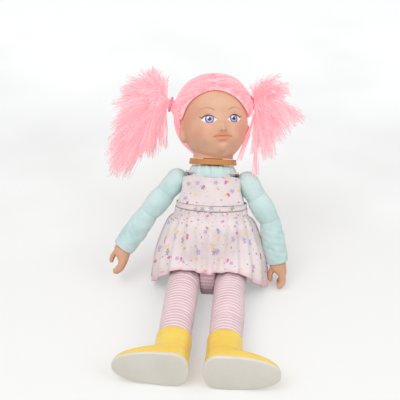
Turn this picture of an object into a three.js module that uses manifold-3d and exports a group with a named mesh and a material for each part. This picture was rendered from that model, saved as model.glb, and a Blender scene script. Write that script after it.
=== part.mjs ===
// Soft-bodied play doll, about 400 mm tall when it stands, here sitting with its legs forward.
// Millimetres, +Z up. The doll faces -Y and its own left is +X. The origin lies on its flat seat.
// Each limb is built hanging down its own -Z axis from its pivot, in nested groups, one per joint.

import * as THREE from 'three';
import { mergeVertices } from 'three/addons/utils/BufferGeometryUtils.js';
import Module from 'manifold-3d';

// Clearances that several pieces share
const gap = 0.3;
const runningGap = 0.5;
const overrun = 5;
const weld = 0.0001;

// Pose of the seated doll, in degrees
const reclineAngle = 22;
const collarTilt = 7;
const headYaw = 15;
const headTilt = 10;
const headRoll = -4.5;

// At rest each stretch hangs at its own spread from the body's axis, in degrees.
const armPose = {
  right: { swing: -4, spreads: [38, 38, 34, 20], handed: -1 },
  left: { swing: 4, spreads: [32, 32, 13, 2], handed: 1 },
};

// Cloth body
const spine = 122;
const bodyHalfWidth = 46;
const bodyFront = 38;
const bodyBack = 36;
const bodySet = 14.3;
const bodyRise = 26;
const beltSplit = 32;
const bodyForward = 1;

// Neck collar
const neckRadius = 15;
const neckRimBelow = 9;
const neckRimRise = 2.8;
const necklineStand = 1.5;
const necklineHalfWidth = 20.3;
const necklineDepth = 21.8;
const necklineRoll = 2;
const neckOpeningRadius = 12.3;
const neckBallRadius = 13;
const neckBallDrop = 19;
const neckStemRadius = 9.4;
const collarRadius = 27;
const collarLip = 0.5;
const collarBelow = 3.5;
const collarAbove = 3.2;
const neckTieWire = 1.1;
const neckRimHeight = spine - neckRimBelow;
const necklineHeight = neckRimHeight + necklineStand;

// Head
const headHalfWidth = 38;
const headFront = 42;
const headBack = 45;
const headAbove = 50;
const headBelow = 45;
const headHeight = 43;
const headWall = 2.6;
const headSkirtRadius = 23;
const headFloor = 2.8;
const spigotRadius = 11;
const snapRadius = 13.6;
const earHeight = 22;
const earDepth = 13;
const earWidth = 7;

// Hair
const hairThickness = 7;
const hairEdge = 1.4;
const hairGap = 1.7;
const bunchNeckRadius = 5.5;
const bunchReach = 118;
const bunchRise = 52;
const bunchDepth = 24;
const lockRadius = 11;
const elasticWire = 1.6;
const bunchStand = 1;
const bunchRootBack = 8;
const bunchRootRise = 26;

// Sleeves, measured along the arm from the shoulder pivot
const shoulderSpan = 41;
const shoulderDrop = 22;
const shoulderBall = 12.5;
const shoulderRadius = 11;
const shoulderLength = 20;
const creaseBall = 11.6;
const upperArmLength = 32;
const upperArmRadius = 13.2;
const elbowBall = 11.2;
const forearmLength = 51;
const forearmRadius = 13;
const cuffRadius = 12;

// Hands
const wristRadius = 9.4;
const wristGroove = 8.2;
const wristDepth = 12;
const wristTieWall = 1;
const wristTieWidth = 2;
const handLength = 34;
const handWidth = 23;
const handDepth = 24;
const fingerRadius = 3.1;
const gripGap = 7;

// Legs
const hipSpan = 27;
const hipBall = 17.6;
const legRadius = 18;
const ankleRadius = 17.2;
const legLength = 164;
const hipWeb = 8.6;
const hipClearance = 0.7;

// Boots and soles
const soleHalfWidth = 21.5;
const heelBlock = 0.8;
const toeLength = 59;
const heelLength = 20;
const bootHeight = 47;
const bootWall = 2.2;
const shaftLip = 1.4;
const anklePlug = 14.4;
const plugDepth = 14;
const ankleTieWidth = 2.4;
const ankleTieWall = 2.6;
const ankleGroove = 1.2;
const bootLipDepth = 3;
const floorGap = 0.25;

// Pinafore
const clothGap = 0.5;
const clothThickness = 1.4;
const waistDrop = 50;
const bandWidth = 6;
const bibTopDrop = 12;
const bibTopHalfWidth = 30.5;
const strapWidth = 9.5;
const strapSpan = 26;
const touchStripThickness = 0.8;
const skirtThickness = 1.6;
const skirtReach = 67;
const skirtFront = 24;
const skirtRear = 78;
const skirtFold = 2.6;
const skirtLap = 44;

// Ranges of the joints, used where a piece has to leave room for another
const hipFlexionAngle = 15;
const hipExtensionAngle = 62;

const wasm = await Module();
wasm.setup();

const radians = THREE.MathUtils.degToRad;
const lerp = THREE.MathUtils.lerp;
const vec = (x, y, z) => new THREE.Vector3(x, y, z);
const sides = { right: -1, left: 1 };

// Building helpers

function merged(geometry) {
  const bare = geometry.clone();
  for (const name of Object.keys(bare.attributes)) {
    if (name !== 'position') bare.deleteAttribute(name);
  }
  const welded = mergeVertices(bare, weld);
  const corners = welded.index.array;
  const kept = [];
  for (let i = 0; i < corners.length; i += 3) {
    const [a, b, c] = [corners[i], corners[i + 1], corners[i + 2]];
    if (a !== b && b !== c && c !== a) kept.push(a, b, c);
  }
  welded.setIndex(kept);
  return welded;
}

// Turns a closed geometry the right way out, whichever way its faces were listed.
function outward(geometry) {
  const position = geometry.attributes.position;
  const index = geometry.index.array;
  const a = new THREE.Vector3();
  const b = new THREE.Vector3();
  const c = new THREE.Vector3();
  let volume = 0;
  for (let i = 0; i < index.length; i += 3) {
    a.fromBufferAttribute(position, index[i]);
    b.fromBufferAttribute(position, index[i + 1]);
    c.fromBufferAttribute(position, index[i + 2]);
    volume += a.dot(b.cross(c));
  }
  if (volume < 0) {
    for (let i = 0; i < index.length; i += 3) {
      [index[i], index[i + 1]] = [index[i + 1], index[i]];
    }
  }
  return geometry;
}

function solid(geometry) {
  const closed = outward(merged(geometry));
  const mesh = new wasm.Mesh({
    numProp: 3,
    vertProperties: Float32Array.from(closed.attributes.position.array),
    triVerts: Uint32Array.from(closed.index.array),
  });
  return new wasm.Manifold(mesh);
}

function joined(geometries) {
  return geometries.map(solid).reduce((whole, next) => whole.add(next));
}

function geometryOf(manifold) {
  const mesh = manifold.getMesh();
  const geometry = new THREE.BufferGeometry();
  geometry.setAttribute('position', new THREE.BufferAttribute(mesh.vertProperties, 3));
  geometry.setIndex(new THREE.BufferAttribute(mesh.triVerts, 1));
  geometry.computeVertexNormals();
  return geometry;
}

// Skins a row of closed rings, each with as many points as the next, and closes both ends.
function loft(rings) {
  const count = rings[0].length;
  const points = rings.flat();
  const faces = [];
  for (let row = 0; row < rings.length - 1; row++) {
    for (let i = 0; i < count; i++) {
      const next = (i + 1) % count;
      const a = row * count + i;
      const b = row * count + next;
      faces.push(a, b, b + count, a, b + count, a + count);
    }
  }
  const ends = [[0, false], [rings.length - 1, true]];
  for (const [row, last] of ends) {
    const middle = rings[row].reduce((sum, p) => sum.add(p), vec(0, 0, 0)).divideScalar(count);
    points.push(middle);
    for (let i = 0; i < count; i++) {
      const a = row * count + i;
      const b = row * count + ((i + 1) % count);
      faces.push(...(last ? [a, b, points.length - 1] : [b, a, points.length - 1]));
    }
  }
  const geometry = new THREE.BufferGeometry().setFromPoints(points);
  geometry.setIndex(faces);
  return outward(merged(geometry));
}

// A cloth panel: an outer and an inner grid of points, joined round their edge.
function sheet(columns, rows, pointAt) {
  const rings = [];
  for (let column = 0; column <= columns; column++) {
    const ring = [];
    for (let row = 0; row <= rows; row++) ring.push(pointAt(column / columns, row / rows, true));
    for (let row = rows; row >= 0; row--) ring.push(pointAt(column / columns, row / rows, false));
    rings.push(ring);
  }
  const count = rings[0].length;
  const points = rings.flat();
  const faces = [];
  for (let column = 0; column < columns; column++) {
    for (let i = 0; i < count; i++) {
      const a = column * count + i;
      const b = column * count + ((i + 1) % count);
      faces.push(a, b, b + count, a, b + count, a + count);
    }
  }
  for (const column of [0, columns]) {
    const start = column * count;
    for (let row = 0; row < rows; row++) {
      const [a, b] = [start + row, start + row + 1];
      const [c, d] = [start + count - 1 - row, start + count - 2 - row];
      const strip = column === 0 ? [b, a, c, b, c, d] : [a, b, c, b, d, c];
      faces.push(...strip);
    }
  }
  const geometry = new THREE.BufferGeometry().setFromPoints(points);
  geometry.setIndex(faces);
  return outward(merged(geometry));
}

// A tapering tube along a path. Its section is an ellipse: radii across and along the deep axis.
function softTube(path, radii, facets, deep, deepShare = 1) {
  const rings = path.map((centre, i) => {
    const before = path[Math.max(i - 1, 0)];
    const after = path[Math.min(i + 1, path.length - 1)];
    const forward = after.clone().sub(before).normalize();
    const across = forward.clone().cross(deep).normalize();
    const along = across.clone().cross(forward).normalize();
    return Array.from({ length: facets }, (_, k) => {
      const angle = (2 * Math.PI * k) / facets;
      return centre.clone()
        .addScaledVector(across, radii[i] * Math.cos(angle))
        .addScaledVector(along, radii[i] * deepShare * Math.sin(angle));
    });
  });
  return loft(rings);
}

function revolve(profile, facets) {
  return outward(merged(new THREE.LatheGeometry(profile, facets).rotateX(Math.PI / 2)));
}

function arc(height, radius, from, to, steps) {
  return Array.from({ length: steps + 1 }, (_, i) => {
    const angle = radians(lerp(from, to, i / steps));
    const reach = Math.abs(Math.cos(angle)) < weld ? 0 : radius * Math.cos(angle);
    return new THREE.Vector2(reach, height + radius * Math.sin(angle));
  });
}

function ring(innerRadius, outerRadius, low, high, facets) {
  return revolve([
    new THREE.Vector2(innerRadius, low),
    new THREE.Vector2(outerRadius, low),
    new THREE.Vector2(outerRadius, high),
    new THREE.Vector2(innerRadius, high),
    new THREE.Vector2(innerRadius, low),
  ], facets);
}

function block(low, high) {
  const size = high.clone().sub(low);
  const centre = low.clone().add(high).multiplyScalar(0.5);
  return new THREE.BoxGeometry(size.x, size.y, size.z).translate(centre.x, centre.y, centre.z);
}

function ball(radius, columns, rows) {
  return new THREE.SphereGeometry(radius, columns, rows).rotateX(Math.PI / 2);
}

// Reads a row of stations, [height, value, value...], smoothly between its rows.
function stations(rows) {
  const width = rows[0].length - 1;
  const heights = rows.map((row) => row[0]);
  const values = rows.flatMap((row) => row.slice(1));
  const curve = new THREE.CubicInterpolant(heights, values, width, new Float64Array(width));
  const [low, high] = [heights[0], heights[heights.length - 1]];
  return (height) => Array.from(curve.evaluate(THREE.MathUtils.clamp(height, low, high)));
}

function paint(colour, roughness) {
  return new THREE.MeshStandardMaterial({ color: colour, roughness, metalness: 0 });
}

const colours = {
  mint: ['#cfe8e7', 0.95],
  stripe: ['#ecd0d5', 0.95],
  pinafore: ['#f2e6e7', 0.9],
  skin: ['#e8b593', 0.55],
  collar: ['#c88a50', 0.5],
  hair: ['#fbc6d2', 0.6],
  boot: ['#f4d25c', 0.35],
  sole: ['#e4dfd2', 0.5],
  tie: ['#e9e6e0', 0.5],
};

const doll = new THREE.Group();

function group(parent, position, turnX = 0, turnY = 0, turnZ = 0, order = 'XYZ') {
  const made = new THREE.Group();
  made.position.copy(position);
  made.rotation.set(radians(turnX), radians(turnY), radians(turnZ), order);
  parent.add(made);
  return made;
}

function piece(name, geometry, colour, parent) {
  const mesh = new THREE.Mesh(geometry, paint(...colours[colour]));
  mesh.name = name;
  parent.add(mesh);
  return mesh;
}

// Cloth body: a superellipse section whose half width, front and back follow these shares.
const bodyShares = [
  [-0.27, 0.42, 0.34, 0.14],
  [-0.245, 0.62, 0.46, 0.34],
  [-0.21, 0.78, 0.58, 0.62],
  [-0.16, 0.90, 0.68, 0.90],
  [-0.05, 1.00, 0.80, 1.00],
  [0.12, 0.99, 0.84, 0.93],
  [0.31, 0.94, 0.90, 0.80],
  [0.55, 0.86, 0.84, 0.71],
  [0.67, 0.84, 0.77, 0.70],
  [0.74, 0.79, 0.71, 0.69],
  [0.82, 0.765, 0.64, 0.65],
  [0.87, 0.67, 0.58, 0.57],
  [0.892, 0.46, 0.575, 0.57],
];
const bodyAt = stations(bodyShares);

function bodySection(height) {
  const [width, front, back] = bodyAt(height / spine);
  return { width: width * bodyHalfWidth, front: front * bodyFront, back: back * bodyBack };
}

// A point of the body's surface: turn 0 is the front, +90 the doll's left.
function bodyPoint(height, turn, offset = 0) {
  const { width, front, back } = bodySection(height);
  const angle = radians(turn);
  const depth = Math.cos(angle) > 0 ? front : back;
  return vec((width + offset) * Math.sin(angle), -(depth + offset) * Math.cos(angle), height);
}

const bodyFacets = 22;
const bodyRows = 13;
const neckFloor = neckRimHeight - neckRimRise;

function bodyRing(height, offset = 0) {
  return Array.from({ length: bodyFacets }, (_, i) => bodyPoint(height, (360 * i) / bodyFacets, offset));
}

// A ring round the neck, leaning back with the collar by the share given.
function neckRing(halfWidth, depth, height, leanShare = 0) {
  const slope = leanShare * Math.tan(radians(collarTilt));
  return Array.from({ length: bodyFacets }, (_, i) => {
    const angle = (2 * Math.PI * i) / bodyFacets;
    const y = -depth * Math.cos(angle);
    return vec(halfWidth * Math.sin(angle), y, height - slope * y);
  });
}

const lowest = bodyShares[0][0];
const highest = bodyShares[bodyShares.length - 1][0];
const bodyHeights = Array.from({ length: bodyRows + 1 }, (_, i) => (
  spine * lerp(lowest, highest, i / bodyRows)
));
const trenchRadius = neckRadius + 2 * (gap + neckTieWire);
const bodyForm = loft([
  ...bodyHeights.map((height) => bodyRing(height)),
  neckRing(necklineHalfWidth, necklineDepth, necklineHeight - necklineRoll, 1),
  neckRing(necklineHalfWidth - necklineRoll / 2, necklineDepth - necklineRoll / 2, necklineHeight, 1),
  neckRing(trenchRadius, trenchRadius, necklineHeight - necklineRoll / 4, 1),
  neckRing(trenchRadius, trenchRadius, neckFloor),
  neckRing(neckRadius, neckRadius, neckFloor),
  neckRing(neckRadius, neckRadius, neckRimHeight),
]);

// The body leans back on a seat that its weight has pressed flat.
const torso = group(doll, vec(0, bodySet, bodyRise), -reclineAngle);
torso.updateMatrixWorld(true);
const toTorso = torso.matrixWorld.clone().invert();

const hipHeight = soleHalfWidth + floorGap;
const hips = Object.fromEntries(Object.entries(sides).map(([name, side]) => [
  name, vec(side * hipSpan, 0, hipHeight).applyMatrix4(toTorso),
]));

// What the leg sweeps between sitting forward and standing, as a wedge through the hip.
const hipArcSteps = 10;
function legSweep(side) {
  const reach = legRadius + hipClearance;
  const far = bodyHalfWidth + bodyBack + overrun;
  const upper = radians(180 - hipFlexionAngle);
  const lower = radians(180 + hipExtensionAngle);
  const shape = new THREE.Shape();
  const [above, below] = [[Math.cos(upper), Math.sin(upper)], [Math.cos(lower), Math.sin(lower)]];
  shape.moveTo(far * above[0] + reach * above[1], far * above[1] - reach * above[0]);
  shape.lineTo(reach * above[1], -reach * above[0]);
  for (let i = 1; i < hipArcSteps; i++) {
    const angle = lerp(upper - Math.PI / 2, lower + Math.PI / 2 - 2 * Math.PI, i / hipArcSteps);
    shape.lineTo(reach * Math.cos(angle), reach * Math.sin(angle));
  }
  shape.lineTo(-reach * below[1], reach * below[0]);
  shape.lineTo(far * below[0] - reach * below[1], far * below[1] + reach * below[0]);
  const [middle, corner] = [(upper + lower) / 2, far * Math.SQRT2];
  shape.lineTo(corner * Math.cos(middle), corner * Math.sin(middle));
  const depth = bodyHalfWidth + overrun - hipWeb;
  const prism = new THREE.ExtrudeGeometry(shape, { depth, bevelEnabled: false });
  // The shape's x is the world's y and its y is the world's z; the depth runs outward.
  prism.applyMatrix4(new THREE.Matrix4().makeBasis(vec(0, 1, 0), vec(0, 0, 1), vec(1, 0, 0)));
  prism.translate(hipWeb, 0, hipHeight);
  if (side < 0) prism.scale(-1, 1, 1);
  return prism.applyMatrix4(toTorso);
}

const wide = bodyHalfWidth * 3;
const floorBlock = block(vec(-wide, -wide, -wide), vec(wide, wide, 0)).applyMatrix4(toTorso);
const neckPivot = vec(0, 0, spine).sub(
  vec(0, Math.sin(radians(collarTilt)), Math.cos(radians(collarTilt))).multiplyScalar(neckBallDrop),
);
const neckCentre = neckPivot.y / 2;
const neckCup = ball(neckBallRadius + runningGap, 18, 12).translate(neckPivot.x, neckPivot.y, neckPivot.z);
const neckOpening = revolve([
  new THREE.Vector2(0, neckPivot.z),
  new THREE.Vector2(neckOpeningRadius, neckPivot.z),
  new THREE.Vector2(neckOpeningRadius, neckRimHeight + overrun),
  new THREE.Vector2(0, neckRimHeight + overrun),
], 18).translate(0, neckCentre, 0);
const shoulders = Object.fromEntries(Object.entries(sides).map(([name, side]) => [
  name, vec(side * shoulderSpan, -bodyForward, spine - shoulderDrop),
]));

// What the top of the arm sweeps as it swings, opened outward from the cup.
function swingSweep(side, spread) {
  const angle = radians(spread);
  const reach = shoulderRadius + runningGap;
  const [across, down] = [-reach * Math.cos(angle), reach * Math.sin(angle)];
  const far = shoulderLength + overrun;
  return revolve([
    new THREE.Vector2(0, across),
    new THREE.Vector2(down, across),
    new THREE.Vector2(down + far * Math.cos(angle), across + far * Math.sin(angle)),
    new THREE.Vector2(down + far * Math.cos(angle), far * 2),
    new THREE.Vector2(0, far * 2),
  ], 20).rotateY(side * Math.PI / 2);
}

let body = solid(bodyForm).subtract(solid(floorBlock)).subtract(solid(neckCup)).subtract(solid(neckOpening));
for (const [name, side] of Object.entries(sides)) {
  const cup = ball(shoulderBall + runningGap, 16, 12);
  body = body.subtract(solid(cup.translate(shoulders[name].x, shoulders[name].y, shoulders[name].z)));
  const sweep = swingSweep(side, armPose[name].spreads[0]);
  body = body.subtract(solid(sweep.translate(shoulders[name].x, shoulders[name].y, shoulders[name].z)));
  body = body.subtract(solid(legSweep(side)));
}
const aboveSplit = block(vec(-wide, -wide, beltSplit + gap / 2), vec(wide, wide, spine + wide));
const belowSplit = block(vec(-wide, -wide, -wide), vec(wide, wide, beltSplit - gap / 2));
piece('torso_upper', geometryOf(body.intersect(solid(aboveSplit))), 'mint', torso);
piece('torso_seat', geometryOf(body.intersect(solid(belowSplit))), 'stripe', torso);

const tieHeight = neckFloor + neckTieWire + gap;
const tieRadius = neckRadius + gap + neckTieWire;
const neckTie = new THREE.TorusGeometry(tieRadius, neckTieWire, 5, 20).translate(0, 0, tieHeight);
piece('neck_tie', merged(neckTie), 'tie', torso);

// Neck collar: a ball in the cloth neck, a wide lipped disc, and a spigot with a snap head.
const neckFrame = group(torso, neckPivot, -collarTilt);
const collarFrame = group(neckFrame, vec(0, 0, neckBallDrop));
const stemAngle = THREE.MathUtils.radToDeg(Math.acos(neckStemRadius / neckBallRadius));
const floorLow = collarAbove + runningGap;
const snapLow = floorLow + headFloor + runningGap;
const snapHeight = neckStemRadius / 2;
const collarProfile = [
  ...arc(-neckBallDrop, neckBallRadius, -90, stemAngle, 6),
  new THREE.Vector2(neckStemRadius, -collarBelow - collarLip),
  new THREE.Vector2(collarRadius - collarLip, -collarBelow),
  new THREE.Vector2(collarRadius + collarLip, -collarBelow + collarLip),
  new THREE.Vector2(collarRadius + collarLip, -collarLip),
  new THREE.Vector2(collarRadius, 0),
  new THREE.Vector2(collarRadius, collarAbove - collarLip),
  new THREE.Vector2(collarRadius - collarLip, collarAbove),
  new THREE.Vector2(spigotRadius, collarAbove),
  new THREE.Vector2(spigotRadius, snapLow),
  new THREE.Vector2(snapRadius, snapLow + collarLip),
  new THREE.Vector2(snapRadius, snapLow + collarLip * 2),
  new THREE.Vector2(neckStemRadius, snapLow + snapHeight),
  new THREE.Vector2(0, snapLow + snapHeight),
];
piece('neck_collar', revolve(collarProfile, 22), 'collar', collarFrame);

// Head: an egg-shaped shell with the features of the face as smooth swellings.
// Each feature: azimuth from the nose, elevation, spans of both in degrees, and its height's share.
const featureHeight = 5;
const featureShares = [
  [0, -17, 4.5, 4.6, 1.0],
  [0, -5, 5, 9, 0.3],
  [22, -2, 9, 6, -0.44],
  [22, -3, 5.5, 4, 0.24],
  [24, 10, 11, 3, 0.14],
  [33, -26, 14, 12, 0.72],
  [0, -25, 8, 2.6, 0.34],
  [0, -31.4, 6.5, 2.6, 0.38],
  [0, -28.2, 9, 1.3, -0.26],
  [0, -46, 10, 7, 0.6],
  [0, -37.5, 9, 3, -0.28],
  [0, 42, 45, 20, 0.3],
];
const jawTaper = 0.16;

function headPoint(azimuth, elevation, offset = 0, plain = false) {
  const [turn, rise] = [radians(azimuth), radians(elevation)];
  const out = vec(Math.sin(turn) * Math.cos(rise), -Math.cos(turn) * Math.cos(rise), Math.sin(rise));
  const deep = out.y < 0 ? headFront : headBack;
  const tall = out.z > 0 ? headAbove : headBelow;
  const taper = out.z < 0 ? 1 - jawTaper * out.z * out.z : 1;
  const point = vec(headHalfWidth * taper * out.x, deep * out.y, tall * out.z);
  const normal = vec(out.x / headHalfWidth, out.y / deep, out.z / tall).normalize();
  let height = offset;
  if (!plain) {
    for (const [az, el, azSpan, elSpan, share] of featureShares) {
      for (const mirrored of az === 0 ? [az] : [az, -az]) {
        const away = ((azimuth - mirrored) / azSpan) ** 2 + ((elevation - el) / elSpan) ** 2;
        height += featureHeight * share * Math.exp(-away);
      }
    }
  }
  return point.addScaledVector(normal, height);
}

// Columns of the head stand closer together round the face than behind it.
const faceCrowdingAngle = 26;
const rowCrowdingAngle = 6;
const rowFocusAngle = -20;
function headForm(columns, rows, offset, plain) {
  const rings = [];
  for (let row = 0; row <= rows; row++) {
    const even = lerp(-90, 90, row / rows);
    const drawn = plain ? 0 : rowCrowdingAngle;
    const elevation = even - drawn * Math.sin(radians(2 * (even - rowFocusAngle)));
    rings.push(Array.from({ length: columns }, (_, i) => {
      const turn = lerp(-180, 180, i / columns);
      const crowd = plain ? 0 : faceCrowdingAngle;
      const rise = row === 0 || row === rows ? even : elevation;
      return headPoint(turn - crowd * Math.sin(radians(turn)), rise, offset, plain);
    }));
  }
  return loft(rings);
}

const headFrame = group(collarFrame, vec(0, 0, 0), 0, 0, headYaw);
const headMiddle = vec(0, 0, headHeight);
const headLean = new THREE.Matrix4()
  .makeTranslation(headMiddle.x, headMiddle.y, headMiddle.z)
  .multiply(new THREE.Matrix4().makeRotationFromEuler(
    new THREE.Euler(-radians(headTilt), radians(headRoll), 0),
  ));

function ear(side, size, sink) {
  const form = ball(1, 10, 8).scale(size * earWidth, size * earDepth / 2, size * earHeight / 2);
  return form.rotateZ(radians(side * 14)).rotateX(radians(-6))
    .translate(side * (headHalfWidth - headWall + sink), headWall, -earHeight * 0.43);
}

const ears = Object.values(sides).map((side) => (
  solid(ear(side, 1, 0)).subtract(solid(ear(side, 0.62, earWidth * 0.55)))
));
const skull = solid(headForm(36, 24, 0, false)).add(ears[0]).add(ears[1]).transform(headLean.toArray());
const cavity = solid(headForm(18, 12, -headWall, true)).transform(headLean.toArray());
const skirtTube = solid(revolve([
  new THREE.Vector2(0, floorLow),
  new THREE.Vector2(headSkirtRadius, floorLow),
  new THREE.Vector2(headSkirtRadius, headHeight / 2),
  new THREE.Vector2(0, headHeight / 2),
], 32));
const cavityFloor = solid(block(vec(-wide, -wide, floorLow + headFloor), vec(wide, wide, wide)));
const belowHead = solid(block(vec(-wide, -wide, -wide), vec(wide, wide, floorLow)));
const floorHole = solid(revolve([
  new THREE.Vector2(0, 0),
  new THREE.Vector2(spigotRadius + runningGap, 0),
  new THREE.Vector2(spigotRadius + runningGap, snapLow),
  new THREE.Vector2(0, snapLow),
], 24));
const neckWell = solid(revolve([
  new THREE.Vector2(0, floorLow + headFloor),
  new THREE.Vector2(headSkirtRadius - headWall, floorLow + headFloor),
  new THREE.Vector2(headSkirtRadius - headWall, headHeight / 2),
  new THREE.Vector2(0, headHeight / 2),
], 28));
const headSolid = skull.add(skirtTube).subtract(belowHead)
  .subtract(cavity.intersect(cavityFloor)).subtract(neckWell).subtract(floorHole);
piece('head_shell', geometryOf(headSolid), 'skin', headFrame);

// Scalp hair: a shell from the crown down to a hairline whose elevation changes round the head.
const hairlineShares = [
  [-1, -0.44], [-0.82, -0.42], [-0.71, -0.22], [-0.60, 0.07], [-0.44, 0.09], [-0.36, 0.24],
  [-0.22, 0.37], [-0.05, 0.41],
  [0.10, 0.35], [0.22, 0.25], [0.32, 0.12], [0.44, 0.08], [0.60, 0.07],
  [0.71, -0.22], [0.82, -0.42], [1, -0.44],
];
const hairlineAt = stations(hairlineShares);
const capColumns = 28;
const capRows = 9;

// A ring of the scalp hair: thick 0 is its underside and 1 its outer side.
function hairRing(rowShare, thick, room = 0) {
  return Array.from({ length: capColumns }, (_, i) => {
    const turn = lerp(-180, 180, i / capColumns);
    const elevation = lerp(90, 90 * hairlineAt(turn / 180)[0], rowShare);
    const full = hairThickness * Math.sqrt(Math.max(1 - rowShare ** 4, 0));
    return headPoint(turn, elevation, hairGap + thick * Math.max(full, hairEdge) + room);
  });
}

const capShares = Array.from({ length: capRows + 1 }, (_, row) => row / capRows);
const capForm = loft([
  ...capShares.map((share) => hairRing(share, 1)),
  ...capShares.toReversed().map((share) => hairRing(share, 0)),
]);

const cap = solid(capForm).transform(headLean.toArray());
piece('hair_cap', geometryOf(cap), 'hair', headFrame);

// Bunches: a tied neck of hair that opens into a fan of tapering locks.
// Each lock: its tip's place as shares of bunchReach, bunchDepth and bunchRise, then its thickness.
const lockShares = {
  right: [
    [0.62, -0.1, 0.98, 0.60], [0.76, 0.35, 0.86, 0.75], [0.90, -0.3, 0.68, 0.85], [0.98, 0.3, 0.30, 0.95],
    [1.02, 0.0, -0.10, 1.0], [1.01, -0.4, -0.44, 0.95], [0.92, 0.5, -0.70, 0.9], [0.80, -0.2, -0.78, 0.85],
    [0.62, 0.3, -0.62, 0.75], [0.84, -0.8, 0.10, 1.0], [0.84, 0.9, 0.12, 1.0],
  ],
  left: [
    [0.56, 0.2, 0.92, 0.65], [0.66, 0.7, 0.72, 0.8], [0.72, 0.2, 0.30, 0.95], [0.70, 0.8, -0.08, 0.95],
    [0.64, -0.1, -0.38, 0.9], [0.58, 0.6, -0.66, 0.85], [0.50, 0.0, -0.80, 0.7], [0.64, -0.6, 0.14, 0.95],
    [0.60, 1.3, 0.24, 1.0],
  ],
};
const bunchRoot = vec(headHalfWidth + hairThickness + bunchStand, bunchRootBack, bunchRootRise);
const bunchDirectionShares = [0.95, 0.1, 0.3];
const lockSteps = 5;
const lockFacets = 5;
const lockNeckShare = 0.7;
const lockSwellShares = [0.5, 0.88, 1, 0.9, 0.6, 0.14];

function bunch(side, shares) {
  const root = bunchRoot.clone().setX(side * bunchRoot.x);
  const [outShare, backShare, upShare] = bunchDirectionShares;
  const outwardDirection = vec(side * outShare, backShare, upShare).normalize();
  const start = root.clone().addScaledVector(outwardDirection, -bunchNeckRadius * 1.6);
  const throat = root.clone().addScaledVector(outwardDirection, bunchNeckRadius * 2);
  const stem = softTube(
    [start, root, throat],
    [bunchNeckRadius, bunchNeckRadius, bunchNeckRadius],
    12,
    vec(0, 1, 0),
  );
  const locks = shares.map(([out, back, up, thick]) => {
    const tip = vec(side * bunchReach * out, bunchRoot.y + bunchDepth * back, bunchRise * up);
    const lift = bunchRise * 0.12 * Math.sign(up + 0.2);
    const bend = throat.clone().lerp(tip, 0.5).add(vec(0, 0, lift));
    const inside = throat.clone().addScaledVector(outwardDirection, -bunchNeckRadius / 2);
    const path = new THREE.QuadraticBezierCurve3(inside, bend, tip).getPoints(lockSteps);
    const radii = lockSwellShares.map((swell) => lockRadius * thick * swell);
    radii[0] = bunchNeckRadius * lockNeckShare;
    return softTube(path, radii, lockFacets, vec(0, 1, 0));
  });
  return { form: joined([stem, ...locks]), root, outwardDirection };
}

// The scalp hair with a little room round it, which the bunches start from.
const keepOut = solid(loft(capShares.map((share) => hairRing(share, 1, gap))));
for (const [name, side] of Object.entries(sides)) {
  const { form, root, outwardDirection } = bunch(side, lockShares[name]);
  const facing = new THREE.Quaternion().setFromUnitVectors(vec(0, 0, 1), outwardDirection);
  const seat = root.clone().addScaledVector(outwardDirection, elasticWire * 1.5);
  const band = (wire) => new THREE.TorusGeometry(bunchNeckRadius + gap + elasticWire, wire, 5, 14)
    .applyQuaternion(facing).translate(seat.x, seat.y, seat.z);
  const trimmed = form.subtract(keepOut).subtract(solid(band(elasticWire + gap)));
  piece(`bunch_${name}`, geometryOf(trimmed.transform(headLean.toArray())), 'hair', headFrame);
  piece(`elastic_${name}`, merged(band(elasticWire).applyMatrix4(headLean)), 'tie', headFrame);
}

// A stuffed stretch of limb: a ball above, a swelling barrel, and a cup for the next ball below.
const cupShare = 0.72;
function limb({ ballRadius, shoulderShare, length, swell, nextBall, rimRadius, facets }) {
  const cupRadius = nextBall + runningGap;
  const rim = -length + cupShare * nextBall;
  const rimAngle = THREE.MathUtils.radToDeg(Math.asin((cupShare * nextBall) / cupRadius));
  const start = -ballRadius * shoulderShare;
  const startRadius = Math.min(ballRadius, Math.sqrt(ballRadius ** 2 - start ** 2));
  const steps = 5;
  const barrel = Array.from({ length: steps + 1 }, (_, i) => {
    const share = i / steps;
    const straight = lerp(rimRadius, startRadius, share);
    const bulge = (swell - Math.max(rimRadius, startRadius)) * Math.sin(Math.PI * share);
    return new THREE.Vector2(straight + Math.max(bulge, 0), lerp(rim, start, share));
  });
  const angle = THREE.MathUtils.radToDeg(Math.asin(start / ballRadius));
  return revolve([
    ...arc(-length, cupRadius, 90, rimAngle, 3),
    ...barrel,
    ...arc(0, ballRadius, angle, 90, 4).slice(1),
  ], facets);
}

// Last stretch of the sleeve: a ball above and a pocket for the wrist of the hand below.
function cuffLimb({ ballRadius, length, swell, rimRadius, pocketRadius, pocketDepth, facets }) {
  const steps = 6;
  const barrel = Array.from({ length: steps + 1 }, (_, i) => {
    const share = i / steps;
    const bulge = (swell - ballRadius) * Math.sin(Math.PI * share ** 1.4);
    return new THREE.Vector2(lerp(rimRadius, ballRadius, share) + bulge, lerp(-length, 0, share));
  });
  return revolve([
    new THREE.Vector2(0, -length + pocketDepth),
    new THREE.Vector2(pocketRadius, -length + pocketDepth),
    new THREE.Vector2(pocketRadius, -length),
    ...barrel,
    ...arc(0, ballRadius, 0, 90, 4).slice(1),
  ], facets);
}

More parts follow.
